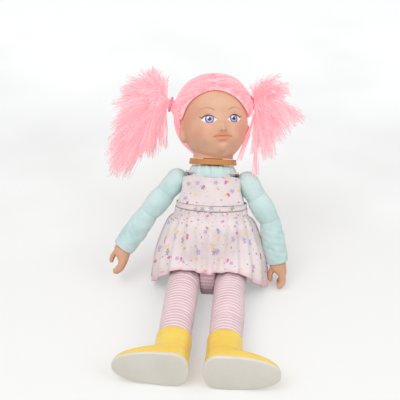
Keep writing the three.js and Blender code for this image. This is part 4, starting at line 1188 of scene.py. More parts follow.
@dataclass
class Sleeve:
    """One stuffed sleeve in three stretches, with its cuff hem, and the vinyl hand below it.

    The spreads are each stretch's degrees away from hanging down, and the hand's.
    """

    side: Side
    swing: float
    spreads: tuple[float, float, float, float]
    lengths: Triple = (20, 32, 51)
    shoulder: Triple = (41, -1, 100)
    cap_radius: float = 12.3
    crease: float = 9.0
    padded: list[Piece] = field(default_factory=list)
    points: list[Vector] = field(default_factory=list)

    def pivots(self) -> list[Vector]:
        """Returns the shoulder, crease, elbow and cuff places in the row frame.

        Returns:
            The four places.
        """
        sign = self.side.value
        x, y, z = self.shoulder
        socket = TORSO @ shifted(sign * x, y, z) @ turned("X", self.swing)
        here, made = Vector((0, 0, 0)), []
        for spread, length in zip(self.spreads, (*self.lengths, 0)):
            made.append(socket @ here)
            angle = radians(spread)
            here = here + Vector((sign * sin(angle), 0, -cos(angle))) * length
        return made

    def centre(self, along: float) -> Vector:
        """Returns the centreline's point at a length along the arm.

        Args:
            along: The length from the shoulder.

        Returns:
            The point.
        """
        start = 0.0
        for i, length in enumerate(self.lengths):
            if along <= start + length or i == 2:
                a, b = self.points[i], self.points[i + 1]
                return a + (b - a) * ((along - start) / length)
            start += length
        return self.points[3]

    def ring(self, along: float, radius: float) -> Ring:
        """Returns a ring across the arm.

        Args:
            along: Where on the centreline.
            radius: Its radius.

        Returns:
            The ring.
        """
        ahead = (self.centre(along + 4) - self.centre(along - 4)).normalized()
        across = ahead.cross(Vector((0, 1, 0))).normalized()
        deep = across.cross(ahead).normalized()
        middle = self.centre(along)
        made = []
        for turn in round_turns(48):
            crumple = 1 + 0.012 * sin(3 * turn + along * 0.35) + 0.008 * sin(5 * turn - along * 0.8)
            made.append(middle + (across * cos(turn) + deep * sin(turn)) * radius * crumple)
        return made

    def stretch(self, part: int) -> Piece:
        """Makes one stretch of the sleeve; each end draws in to the stitched crease.

        Args:
            part: 0 for the shoulder, 1 for the upper arm, 2 for the forearm.

        Returns:
            The stretch.
        """
        first, second, wrist = (sum(self.lengths[:count]) for count in (1, 2, 3))
        rows: list[tuple[float, float]] = []
        if part == 0:
            top = self.cap_radius
            for i in range(12):
                along = -12 + i
                rows.append((along, top * sqrt(max(1 - (along / top) ** 2, 0.03))))
            rows += [(19.4 * t, mix(top, 11.2, t) + 0.5 * sin(pi * t)) for t in evenly(12)]
            rows += [(first - 0.25, 10.9), (first - 0.15, self.crease)]
        elif part == 1:
            rows = [(first + 0.15, self.crease), (first + 0.25, 11.0)]
            rows += [(first + 0.5 + 31 * t, mix(11.4, 10.9, t) + 2.0 * sin(pi * t) ** 0.8)
                     for t in evenly(20)]
            rows += [(second - 0.25, 10.6), (second - 0.15, self.crease)]
        else:
            rows = [(second + 0.15, self.crease), (second + 0.25, 10.8)]
            rows += [(second + 0.5 + 50.2 * t, mix(11.2, 12.2, t) + 1.6 * sin(pi * t ** 0.9))
                     for t in evenly(30)]
            rows += [(wrist, 12.0), (wrist + 0.1, 11.2), (wrist - 0.4, 10.4), (wrist - 2, 10.0),
                     (wrist - 10.8, 10.0), (wrist - 11.8, self.crease)]
        label = ("shoulder", "upper", "fore")[part]
        span = abs(rows[-1][0] - rows[0][0])
        return loft(f"sleeve_{label}_{self.side.name}", [self.ring(a, r) for a, r in rows], MINT, (75, span))

    def build(self) -> None:
        """Makes the three stretches."""
        self.points = self.pivots()
        self.padded = [self.stretch(part) for part in range(3)]

    def finish(self) -> None:
        """Seats the shoulder stretch, leaves the other two where they lie, sews the cuff and makes the hand.
        """
        side = self.side.name
        cap, upper, lower = (f"shoulder_cap_{side}", f"upper_sleeve_{side}", f"lower_sleeve_{side}")
        nodes = (f"shoulder_{side}", f"upper_arm_{side}", f"forearm_{side}")
        for made, node in zip(self.padded, nodes):
            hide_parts(node)
        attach(self.padded[0], cap)
        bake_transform(self.padded[1], cap, upper, self.centre(20) * MM, self.centre(33) * MM)
        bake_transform(self.padded[2], upper, lower, self.centre(52) * MM, self.centre(65) * MM)
        hem = self.ring(98.5, 12.75)
        stitches(f"cuff_stitches_{side}", [hem + hem[:1]], lower, "mint_knit", MINT_THREAD)
        palm = cad_copy(f"palm_{side}", f"hand_{side}", SKIN, 0.55, 5)
        seat_piece(palm, f"palm_{side}", "skin_vinyl", [f"hand_{side}"])


@dataclass
class Trouser:
    """One stuffed leg in fine horizontal stripes, its turned hem and its vinyl boot."""

    side: Side
    radius: float = 18.0
    hip: float = 17.6
    length: float = 164.0
    toe: float = 59.0
    heel: float = 20.0
    half: float = 21.5
    tall: float = 47.0
    lining: float = 15.3
    padded: list[Piece] = field(default_factory=list)

    def at(self, along: float, turn: float, radius: float) -> Vector:
        """Returns a point by its length from the hip, its turn and its radius."""
        x = self.side.value * HIP_X + radius * cos(turn)
        return Vector((x, -along, LEG_HEIGHT + radius * sin(turn)))

    def build(self) -> None:
        """Makes the stuffed leg with creases that wrap it."""
        rows = [(-self.hip * cos(t), self.hip * sin(t)) for t in
                [mix(0.12, pi / 2, i / 12) for i in range(13)]]
        end = self.length - self.tall - 0.3
        rows += [(end * t, mix(self.hip, 17.2, t) + 0.5 * sin(pi * t)) for t in
                 [i / 100 for i in range(1, 101)]]
        rows += [(end + 0.2, 15.6), (end + 0.3, 14.2), (end + 3.0, 14.2), (end + 3.3, 13.1),
                 (end + 6.0, 13.1), (end + 6.3, 14.2), (end + 13, 14.2), (end + 13.6, 13.4)]
        rng = random.Random(5 + self.side.value)
        creases = [(rng.uniform(12, end - 12), rng.uniform(0, 6.28), rng.uniform(3.5, 7)) for _ in range(9)]
        rings = []
        for along, radius in rows:
            ring = []
            for turn in round_turns(64):
                dent = 0.0
                if 3 < along < end - 3:
                    for place, where, wide in creases:
                        near = cos((turn - where) / 2) ** 6
                        away = (along - place - 3 * sin(turn)) / wide * 2.2
                        dent += 0.75 * near * exp(-away**2)
                ring.append(self.at(along, turn, radius - min(dent, 1.3)))
            rings.append(ring)
        self.padded = [loft(f"trouser_{self.side.name}", rings, STRIPED, (113, rows[-1][0] - rows[0][0]))]
        layer = self.padded[0].data.uv_layers["cloth"].data
        for loop in self.padded[0].data.loops:
            here = self.padded[0].data.vertices[loop.vertex_index].co
            layer[loop.index].uv.y = -here.y / MM

    def finish(self) -> None:
        """Seats the leg and makes its hem, boot and sole."""
        side = self.side.name
        seat_piece(self.padded[0], f"shank_{side}", "striped_knit", [f"leg_{side}"])
        end = self.length - self.tall - 4.5
        hem = [self.at(end, 2 * pi * i / 60, self.radius) for i in range(61)]
        stitches(f"trouser_stitches_{side}", [hem], f"shank_{side}", "striped_knit", THREAD)
        self.boot()

    def outline(self, toe: float, heel: float, half: float, height: float, inset: float = 0) -> Ring:
        """Returns the boot's outline at a height above the floor side, toe away from the other foot.

        Args:
            toe: Its reach towards the toe.
            heel: Its reach towards the heel.
            half: Its half width.
            height: Its height above the sole's underside.
            inset: How far it lies inside those sizes.

        Returns:
            The outline.
        """
        made = []
        for turn in round_turns(72):
            across, along = (copysign(abs(c) ** 0.84, c) for c in (sin(turn), cos(turn)))
            reach = (toe if along > 0 else heel) - inset
            wide, ahead = (half - inset) * across, reach * along
            sign = self.side.value
            made.append(Vector((sign * (HIP_X + ahead), height - self.length, LEG_HEIGHT + sign * wide)))
        return made

    def lined_up(self, ring: Ring, model: Ring) -> Ring:
        """Returns a ring that starts and runs beside another one.

        Args:
            ring: The ring to turn, with as many points as the other.
            model: The other ring.

        Returns:
            The turned ring.
        """
        count, few = len(ring), 9
        start = min(range(count), key=lambda i: (ring[i] - model[0]).length)
        step = min((1, -1), key=lambda d: (ring[(start + d * few) % count] - model[few]).length)
        return [ring[(start + step * i) % count] for i in range(count)]

    def boot(self) -> None:
        """Makes the moulded boot with its rolled rim, and the two-level sole with its welt."""
        shares = Stations([
            [0.085, 0.985, 0.98, 0.97], [0.19, 0.965, 0.97, 0.96], [0.255, 0.90, 0.96, 0.95],
            [0.31, 0.78, 0.95, 0.93], [0.36, 0.58, 0.94, 0.91], [0.41, 0.42, 0.93, 0.89],
            [0.52, 0.34, 0.93, 0.87], [0.74, 0.317, 0.935, 0.87], [0.96, 0.321, 0.95, 0.875],
            [1, 0.314, 0.93, 0.86],
        ])
        rings = []
        for i in range(61):
            level = mix(0.085, 0.985, i / 60)
            toe, heel, width = shares(level)
            crease = 0.35 * exp(-((level - 0.47) / 0.02) ** 2)
            crease += 0.25 * exp(-((level - 0.62) / 0.025) ** 2)
            size = (self.toe * toe, self.heel * heel, self.half * width)
            rings.append(self.outline(*size, self.tall * level, crease))
        toe, heel, width = shares(1.0)
        rim = (self.toe * toe, self.heel * heel, self.half * width)
        for inset, height in ((0.15, 46.8), (0.7, 47.2), (1.5, 47.3), (2.3, 47.0), (2.8, 46.2)):
            rings.append(self.outline(*rim, height, inset))
        for height in (44, 36, 31.5):
            rings.append([self.at(self.length - height, turn, self.lining) for turn in round_turns(72)])
        rim_ring = rings[-4]
        for k in (-3, -2, -1):
            rings[k] = self.lined_up(rings[k], rim_ring)
        side = self.side.name
        made = loft(f"rubber_boot_{side}", rings, BOOT)
        seat_piece(made, f"foot_{side}", "boot_vinyl", [f"boot_{side}"])
        size = (self.toe, self.heel, self.half)
        rows = [(0.8, 1.2), (0.95, 0.4), (1.3, 0.05), (2.3, 0.0), (2.5, 0.35), (2.7, 0.35), (2.9, 0.0),
                (3.5, 0.0), (3.68, 0.5)]
        sole = loft(f"rubber_sole_{side}", [self.outline(*size, h, inset) for h, inset in rows], SOLE)
        tread, waist = 0.8, 8.2
        for vertex in sole.data.vertices:
            height = self.length + vertex.co.y / MM
            along = vertex.co.x * self.side.value / MM - HIP_X
            if height < 1.1 and along < waist:
                vertex.co.y -= tread * MM * (1 - smooth(waist - 0.8, waist, along))
        seat_piece(sole, f"foot_{side}", "sole_vinyl", [f"sole_{side}"])


# The frame that the bunches' tips are chosen in: close to the head's, but with a turn and roll of its own.
TIP_YAW, TIP_ROLL = 16, 2
TIP_FRAME = (COLLAR_FRAME @ turned("Z", TIP_YAW) @ shifted(0, 0, HEAD_RISE) @ turned("X", HEAD_PITCH)
             @ turned("Y", TIP_ROLL))

# The skull's half width, its depths before and behind the ears, its rise and drop from the middle.
SKULL_WIDTH, FACE_DEPTH, NAPE_DEPTH, MEAN_DEPTH = 38, 42, 45, 43
CROWN_RISE, JAW_DROP = 50, 45
JAW_TAPER = 0.16
FEATURE_HEIGHT = 5

# The hairline's elevation by azimuth, as shares of 90 and 180 degrees.
HAIRLINE = Stations([
    [-1, -0.44], [-0.82, -0.42], [-0.71, -0.22], [-0.60, 0.07], [-0.44, 0.09], [-0.36, 0.24], [-0.22, 0.37],
    [-0.05, 0.41], [0.10, 0.35], [0.22, 0.25], [0.32, 0.12], [0.44, 0.08], [0.60, 0.07], [0.71, -0.22],
    [0.82, -0.42], [1, -0.44],
])

# The face's forms: azimuth, elevation, half width and half height in degrees, and height as a share.
FEATURES = (
    (0, -17.5, 4.2, 4.2, 1.0), (0, -5, 5, 9, 0.3), (0, -15, 2.5, 5, 0.25), (4.2, -18.5, 2.4, 2.2, 0.3),
    (22, -2, 9, 6, -0.44), (22, -3, 6.0, 4.6, 0.34), (24, 10, 11, 3, 0.14), (33, -26, 14, 12, 0.72),
    (2.6, -25.6, 4.0, 1.9, 0.32), (0, -25.2, 9, 2.2, 0.2), (0, -31.0, 7.0, 2.4, 0.5),
    (0, -28.1, 11, 1.0, -0.34), (0, -46, 10, 7, 0.6), (0, -37, 9, 2.6, -0.34), (0, 42, 45, 20, 0.3),
    (0, -22.6, 1.5, 1.6, -0.14),
    (16.5, -28.6, 2.2, 2.4, -0.22),
)


def skull_rise(height: float) -> float:
    """Returns the skull's reach up or down from its middle, on the side that a height lies."""
    return CROWN_RISE if height > 0 else JAW_DROP


def head_point(azimuth: float, elevation: float, offset: float = 0, plain: bool = False) -> Vector:
    """Returns a point of the head about its middle.

    Args:
        azimuth: Degrees from the nose towards the doll's left.
        elevation: Degrees above the middle.
        offset: How far it stands off the surface.
        plain: Whether to leave the face's forms out.

    Returns:
        The point.
    """
    turn, rise = radians(azimuth), radians(elevation)
    x, y, z = sin(turn) * cos(rise), -cos(turn) * cos(rise), sin(rise)
    deep, tall = (FACE_DEPTH if y < 0 else NAPE_DEPTH), skull_rise(z)
    taper = 1 - JAW_TAPER * z * z if z < 0 else 1
    point = Vector((SKULL_WIDTH * taper * x, deep * y, tall * z))
    normal = Vector((x / SKULL_WIDTH, y / deep, z / tall)).normalized()
    height = offset
    if not plain:
        for az, el, wide, high, share in FEATURES:
            for mirrored in {az, -az}:
                away = ((azimuth - mirrored) / wide) ** 2 + ((elevation - el) / high) ** 2
                height += FEATURE_HEIGHT * share * exp(-away)
    return point + normal * height


@dataclass
class Head:
    """The hollow moulded head with ears and painted face, on its lipped collar."""

    wall: float = 2.6
    skirt: float = 23.0
    floor: float = 3.7
    hole: float = 11.5
    ear_place: Triple = (36.2, 2.6, -9.4)
    ear_size: Triple = (7, 6.6, 11)
    ear_bowl: float = 3.6

    def build(self) -> None:
        """Makes the head and its collar."""
        self.shell()
        self.collar()

    def ear(self, side: Side) -> list[Ring]:
        """Returns the rings of one ear: a flat egg with a bowl in its outer side.

        Args:
            side: The doll's side.

        Returns:
            The rings.
        """
        x, y, z = self.ear_place
        place = LEAN @ shifted(side.value * x, y, z) @ turned("X", -6) @ turned("Z", side.value * 14)
        wide, deep, tall = self.ear_size
        rings = []
        for row in range(25):
            rise = radians(mix(-88, 88, row / 24))
            ring = []
            for turn in round_turns(40):
                p = Vector((wide * cos(turn) * cos(rise), deep * sin(turn) * cos(rise),
                            tall * sin(rise)))
                outer = side.value * p.x
                bowl = exp(-((p.y - 0.6) / 3.2) ** 2 - ((p.z - 1.0) / 6.2) ** 2)
                if outer > 0:
                    p.x -= side.value * min(self.ear_bowl * bowl, outer)
                ring.append(place @ p)
            rings.append(ring)
        return rings

    def form(self) -> Piece:
        """Makes the closed forms of skull, ears and neck skirt, joined by a remesh.

        Returns:
            The joined form.
        """
        points, faces = [], []

        def add(rings: Sequence[Ring]) -> None:
            """Adds one closed loft to the list.

            Args:
                rings: The loft's rings.
            """
            count, start = len(rings[0]), len(points)
            points.extend(p for ring in rings for p in ring)
            for row in range(len(rings) - 1):
                for i in range(count):
                    a, b = start + row * count + i, start + row * count + (i + 1) % count
                    faces.append((a, b, b + count, a + count))
            faces.append([start + i for i in range(count)][::-1])
            faces.append([start + (len(rings) - 1) * count + i for i in range(count)])

        add([[LEAN @ head_point(azimuth, mix(-89.5, 89.5, row / 150)) for azimuth in range(-180, 180, 2)]
             for row in range(151)])
        add([[HEAD @ Vector((self.skirt * cos(t), self.skirt * sin(t), z)) for t in round_turns(96)]
             for z in (self.floor - 4, 8, 14, 21)])
        for side in Side:
            add(self.ear(side))
        made = make_mesh("head_vinyl", points, faces, FACE)
        mend(made)
        fuse(made, 0.95, 4)
        return made

    def shell(self) -> None:
        """Opens the head's underside, gives it a wall and lays out the face's paint."""
        made = self.form()
        inverse, up = HEAD.inverted(), (HEAD.to_3x3() @ Vector((0, 0, 1)))
        floor = HEAD @ Vector((0, 0, self.floor))
        work = bmesh.new()
        work.from_mesh(made.data)
        geometry = work.verts[:] + work.edges[:] + work.faces[:]
        bmesh.ops.bisect_plane(work, geom=geometry, plane_co=floor * MM, plane_no=up, clear_inner=True)
        rim = [e for e in work.edges if e.is_boundary]
        inner = bmesh.ops.extrude_edge_only(work, edges=rim)["geom"]
        for vertex in (g for g in inner if isinstance(g, bmesh.types.BMVert)):
            here = inverse @ (vertex.co / MM)
            scale = self.hole / hypot(here.x, here.y)
            vertex.co = (HEAD @ Vector((here.x * scale, here.y * scale, self.floor))) * MM
        work.to_mesh(made.data)
        work.free()
        flat = LEAN.inverted()
        places = [flat @ (v.co / MM) for v in made.data.vertices]
        layer = made.data.uv_layers.new(name="cloth")
        for loop in made.data.loops:
            p = places[loop.vertex_index]
            layer.data[loop.index].uv = (p.x, p.z) if p.y < 0 else (p.x * 20, 80)
        scalp = made.data.attributes.new("scalp", "FLOAT", "POINT")
        scalp.data.foreach_set("value", [self.scalp(p) for p in places])
        wall = made.modifiers.new("wall", "SOLIDIFY")
        wall.thickness, wall.offset = self.wall * MM, -1
        bake(made)
        seat_piece(made, "head", "skin_vinyl", ["head_shell"])

    def scalp(self, p: Vector) -> float:
        """Returns how far a point of the head lies under the hair, 0 to 1."""
        azimuth = degrees(atan2(p.x, -p.y))
        elevation = degrees(asin(max(min(p.z / skull_rise(p.z), 1), -1)))
        edge = 90 * HAIRLINE(azimuth / 180)[0]
        return 0.55 * smooth(edge - 1.5, edge + 3, elevation)

    def collar(self) -> None:
        """Makes the collar's ball, lipped disc and snap spigot as one turned moulding."""
        ball = [(13 * cos(a), 13 * sin(a) - NECK_DROP) for a in
                (radians(mix(-88, 43.7, i / 20)) for i in range(21))]
        lip = [(9.4, -4.2), (10.2, -4.0), (26.2, -3.5), (27.1, -3.2), (27.5, -2.4), (27.5, -1.1),
               (27.2, -0.5), (26.9, -0.2), (26.9, 0.2), (27.0, 0.6), (27.1, 2.3), (26.8, 3.0), (26.2, 3.2),
               (11.2, 3.2),
               (11, 3.4), (11, 7.0), (11.4, 7.1), (13.6, 7.5), (13.6, 8.0), (9.4, 11.7), (6, 11.7)]
        rings = [[COLLAR_FRAME @ Vector((r * cos(t), r * sin(t), z)) for t in round_turns(96)]
                 for r, z in ball + lip]
        seat_piece(loft("collar_moulding", rings, COLLAR), "neck", "collar_vinyl", ["neck_collar"])


@dataclass
class HairStyle:
    """Nylon hair, swept from a side parting into two tied bunches.

    Each lock's tip is its place in the tips' frame and its thickness.
    """

    root: Triple = (46.0, 8.0, 26.0)
    parting: float = -6.0
    wire: float = 0.3
    far_right: float = -124
    top: float = 234
    tips: dict[Side, tuple[tuple[float, float, float, float], ...]] = field(default_factory=lambda: {
        Side.right: ((-78, -20, 56, 0.55), (-88, -8, 44, 0.9), (-98, 0, 36, 1.0), (-106, 9, 25, 1.0),
                     (-104, 20, 8, 1.1), (-108, 36, -8, 1.1), (-109, 50, -24, 1.1), (-101, 66, -44, 0.8),
                     (-92, 58, -36, 1.0), (-78, 52, -30, 1.0), (-64, 44, -30, 0.9), (-88, 24, 12, 1.2),
                     (-84, 44, -10, 1.2), (-92, 0, 18, 1.2)),
        Side.left: ((52, -34, 40, 0.7), (60, -38, 34, 0.9), (70, -34, 22, 1.0), (76, -30, 10, 1.0),
                    (74, -22, 0, 1.0), (67, -14, -8, 0.9), (60, -4, -18, 0.8), (66, -8, 12, 1.1),
                    (62, 8, -4, 1.1)),
    })

    def lift(self, azimuth: float, elevation: float) -> float:
        """Returns how far the hair's outer side stands off the head there."""
        edge = 90 * HAIRLINE(azimuth / 180)[0]
        share = min(max((90 - elevation) / (90 - edge), 0), 1)
        return 1.9 + max(6.6 * sqrt(max(1 - share**4, 0)), 1.0)

    def over(self, way: Vector, extra: float) -> Vector:
        """Returns the hair's outer point in a direction from the head's middle, in the row frame."""
        x, y, z = way.x / SKULL_WIDTH, way.y / MEAN_DEPTH, way.z / skull_rise(way.z)
        azimuth = degrees(atan2(x, -y))
        elevation = degrees(asin(max(min(z / sqrt(x**2 + y**2 + z**2), 1), -1)))
        return LEAN @ head_point(azimuth, elevation, self.lift(azimuth, elevation) + extra)

    def tie(self, side: Side) -> tuple[Vector, Vector]:
        """Returns a bunch's root and the way that it leaves the head."""
        root = LEAN @ Vector((side.value * self.root[0], self.root[1], self.root[2]))
        way = (LEAN.to_3x3() @ Vector((side.value * 0.95, 0.1, 0.3))).normalized()
        return root, way

    def build(self) -> None:
        """Makes the combed cap, its strands and both bunches."""
        self.cap()
        for side in Side:
            self.swept(side)
            self.bunch(side)

    def cap(self) -> None:
        """Makes the combed hair close to the scalp."""
        outer, inner = [], []
        for row in range(33):
            share = row / 32
            for rings, top in ((outer, True), (inner, False)):
                ring = []
                for i in range(120):
                    turn = mix(-180, 180, i / 120)
                    elevation = mix(89.9, 90 * HAIRLINE(turn / 180)[0], share)
                    full = max(6.4 * sqrt(max(1 - share**4, 0)), 1.0)
                    comb = 0.35 * sin(turn * 0.9) + 0.25 * sin(turn * 2.3 + 3 * share)
                    ring.append(LEAN @ head_point(turn, elevation, 1.7 + (full + comb * share if top else 0)))
                rings.append(ring)
        made = loft("hair_combed", outer + inner[::-1], COMBED, (260, 160))
        seat_piece(made, "head", "nylon_hair", ["hair_cap"])

    def swept(self, side: Side) -> None:
        """Lays strands from the hairline, the parting and the nape to a bunch's root.

        Args:
            side: The doll's side.
        """
        rng = random.Random(11 + side.value)
        root, way = self.tie(side)
        target = LEAN.inverted() @ root
        starts = []
        for _ in range(105):
            span = 174 + side.value * self.parting
            azimuth = self.parting + side.value * rng.uniform(0, 1) ** 0.85 * span
            starts.append((azimuth, 90 * HAIRLINE(azimuth / 180)[0] + rng.uniform(-1.5, 5)))
        for _ in range(75):
            tall = rng.uniform(36, 205)
            starts.append((self.parting + rng.uniform(-3, 3), tall) if tall <= 90 else
                          (self.parting + 180, 180 - tall))
        guides = []
        for azimuth, elevation in starts:
            begin = head_point(azimuth, elevation, 0, True)
            path = []
            for i in range(12):
                t = i / 11
                way_here = begin.normalized().slerp(target.normalized(), t)
                path.append(self.over(way_here, 0.3 + 1.1 * sin(pi * t) * rng.uniform(0.3, 1)))
            path[-1] = root + way
            path.append(root + way * 7)
            guides.append(path)
        self.strands(f"hair_swept_{side.name}", guides, 14, 3.4, 2.6, 21 + side.value)

    def bunch(self, side: Side) -> None:
        """Makes one bunch: its locks' cores, its loose strands and its elastic.

        Args:
            side: The doll's side.
        """
        rng = random.Random(31 + side.value)
        root, way = self.tie(side)
        throat = root + way * 9
        guides = []
        for count, (x, y, z, thick) in enumerate(self.tips[side]):
            tip = TIP_FRAME @ Vector((x, y, z))
            bend = throat.lerp(tip, 0.45) + Vector((0, 0, 5 + 5 * rng.random())) + way * 3
            core = self.lock(f"lock_{side.name}_{count}", throat, bend, tip, thick)
            seat_piece(core, "head", "nylon_hair", [f"bunch_{side.name}"] if count == 0 else ())
            for _ in range(8):
                off = Vector((rng.gauss(0, 1), rng.gauss(0, 1), rng.gauss(0, 1))) * 6.0 * thick
                end = tip + off * 1.2 + (tip - throat).normalized() * rng.uniform(-14, 8)
                end.x, end.z = max(end.x, self.far_right), min(end.z, self.top)
                middle = bend + off * 0.9
                guides.append([root - way * 3, root + way * 3]
                              + [bowed(throat, middle, end, i / 10) for i in range(1, 11)])
        self.strands(f"hair_bunch_{side.name}", guides, 30, 6.0, 4.4, 41 + side.value)
        if side is Side.left:
            self.falls(rng, root, throat)
        self.elastic(side, root, way)

    def lock(self, name: str, throat: Vector, bend: Vector, tip: Vector, thick: float) -> Piece:
        """Makes the combed core of one lock.

        Args:
            name: Its name.
            throat: Where it starts.
            bend: The point that bows it.
            tip: Where it ends.
            thick: Its thickness as a share of the usual one.

        Returns:
            The core.
        """
        usual_radius = 6.6
        rings = []
        for i in range(15):
            t = i / 14
            here = bowed(throat, bend, tip, t)
            ahead = ((bend - throat) * (1 - t) + (tip - bend) * t).normalized()
            across = ahead.cross(Vector((0, 1, 0.2))).normalized()
            deep = across.cross(ahead)
            swell = (0.35 + 0.65 * sin(pi * min(t * 0.9 + 0.1, 1))) * (1 - 0.4 * t)
            radius = usual_radius * thick * swell
            rings.append([here + (across * cos(a) + deep * sin(a)) * radius
                          for a in round_turns(14)])
        return loft(name, rings, COMBED, (36, (tip - throat).length))

    def falls(self, rng: random.Random, root: Vector, throat: Vector) -> None:
        """Lets a few strands fall beside the neck from the left bunch.

        Args:
            rng: The bunch's random draws.
            root: The bunch's root.
            throat: Where the bunch leaves its elastic.
        """
        guides = []
        for tip in ((57.7, 45, 150), (50.4, 45, 134), (46, 45, 163), (33, 46, 155), (60, 48, 158)):
            for _ in range(3):
                end = Vector(tip) + Vector((rng.uniform(-3, 3), rng.uniform(-3, 3), rng.uniform(-4, 4)))
                out = throat + Vector((2, -10, -8))
                guides.append([root, throat] + [bowed(throat, out, end, i / 9) for i in range(1, 10)])
        self.strands("hair_falls", guides, 7, 2.2, 2.4, 55)

    def elastic(self, side: Side, root: Vector, way: Vector) -> None:
        """Makes the band that holds a bunch.

        Args:
            side: Which bunch.
            root: The bunch's root.
            way: The way that it leaves the head.
        """
        facing = Vector((0, 0, 1)).rotation_difference(way).to_matrix()
        middle = root + way * 2.4
        ring_radius, cord_radius = 7.4, 1.6
        rings = []
        for turn in round_turns(40):
            out = Vector((cos(turn), sin(turn), 0)) * ring_radius
            ring = []
            for a in round_turns(14):
                up = Vector((0, 0, cord_radius * sin(a)))
                ring.append(middle + facing @ (out * (1 + cord_radius * cos(a) / ring_radius) + up))
            rings.append(ring)
        band = loft(f"band_{side.name}", rings + rings[:1], BAND, (10, 46), False)
        mend(band, weld=True)
        seat_piece(band, "head", "hair_band", [f"elastic_{side.name}"])

    def strands(self, name: str, guides: Sequence[Ring], count: int, spread: float, wave: float,
                seed: int) -> None:
        """Grows strands round guide curves.

        Args:
            name: The piece's name.
            guides: The guide curves in millimetres.
            count: Strands for each guide.
            spread: How far strands stand from their guide, in millimetres.
            wave: How far they wander, in millimetres.
            seed: The fixed seed.
        """
        def shape(tree: Tree, given: Any) -> Socket:
            """Copies each guide, moves the copies apart and gives them a tapering section.

            Args:
                tree: The node tree.
                given: Its input sockets.

            Returns:
                The strands' geometry.
            """
            even = tree.node("GeometryNodeResampleCurve", Curve=given[0], Count=10)
            copies = tree.node("GeometryNodeDuplicateElements", {"domain": "SPLINE"},
                               Geometry=even.outputs[0], Amount=given[1])
            which = tree.node("GeometryNodeCurveOfPoint").outputs[0]
            along = tree.node("GeometryNodeSplineParameter").outputs[0]
            shift = tree.node("FunctionNodeRandomValue", {"data_type": "FLOAT_VECTOR"}, i0=(-1, -1, -1),
                              i1=(1, 1, 1), ID=which, Seed=given[5]).outputs[0]
            chance = tree.node("FunctionNodeRandomValue", {"data_type": "FLOAT"}, ID=which,
                               Seed=given[5]).outputs[1]
            opened = tree.times(tree.math("POWER", along, 0.7), given[2])
            aside = tree.scaled(shift, opened)
            place = tree.node("GeometryNodeInputPosition").outputs[0]
            noise = tree.node("ShaderNodeTexNoise", {"noise_dimensions": "4D"}, Vector=place,
                              W=tree.times(chance, 9.0), Scale=42.0, Detail=1.0)
            centred = tree.vector("SUBTRACT", noise.outputs[1], (0.5, 0.5, 0.5))
            reach = tree.times(tree.times(along, 2.0), given[3])
            drift = tree.scaled(centred, reach)
            moved = tree.node("GeometryNodeSetPosition", Geometry=copies.outputs[0],
                              Offset=tree.vector("ADD", aside, drift))
            taper = tree.minus(1.0, tree.times(tree.math("POWER", along, 3.0), 0.7))
            marked = tree.node("GeometryNodeSetCurveRadius", Curve=moved.outputs[0], Radius=taper)
            stored = {"data_type": "FLOAT", "domain": "POINT"}
            for label, value in (("tint", chance), ("along", along)):
                marked = tree.node("GeometryNodeStoreNamedAttribute", stored, Geometry=marked.outputs[0],
                                   Name=label, Value=value)
            section = tree.node("GeometryNodeCurvePrimitiveCircle", Resolution=3, Radius=given[4])
            return tree.node("GeometryNodeCurveToMesh", Curve=marked.outputs[0],
                             Profile_Curve=section.outputs[0], Fill_Caps=True).outputs[0]
        inputs = (("Count", "Int", count), ("Spread", "Float", spread * MM), ("Wave", "Float", wave * MM),
                  ("Wire", "Float", self.wire * MM), ("Seed", "Int", seed))
        seat_piece(grow(name, "strands", guides, inputs, HAIR, shape), "head", "nylon_hair")


# The skirt's fall: a share of half a turn from the front, and three places from below the waist to the hem.
SKIRT_ROWS = (
    (0.00, (0.00, -0.26, 1.92), (0.00, -0.62, 1.16), (0.00, -0.92, 0.86)),
    (0.13, (0.27, -0.20, 1.90), (0.26, -0.60, 1.17), (0.26, -0.92, 0.96)),
    (0.25, (0.49, 0.06, 1.84), (0.55, -0.40, 1.16), (0.56, -1.00, 0.97)),
    (0.37, (0.66, 0.20, 1.72), (0.80, -0.10, 0.98), (0.84, -0.55, 0.50)),
    (0.50, (0.76, 0.47, 1.56), (0.94, 0.30, 0.80), (0.99, 0.10, 0.07)),
    (0.62, (0.73, 0.68, 1.40), (0.90, 0.62, 0.62), (0.98, 0.56, 0.05)),
    (0.76, (0.56, 0.84, 1.26), (0.68, 0.86, 0.54), (0.74, 0.90, 0.05)),
    (0.92, (0.20, 0.90, 1.20), (0.26, 0.93, 0.50), (0.30, 1.00, 0.05)),
)


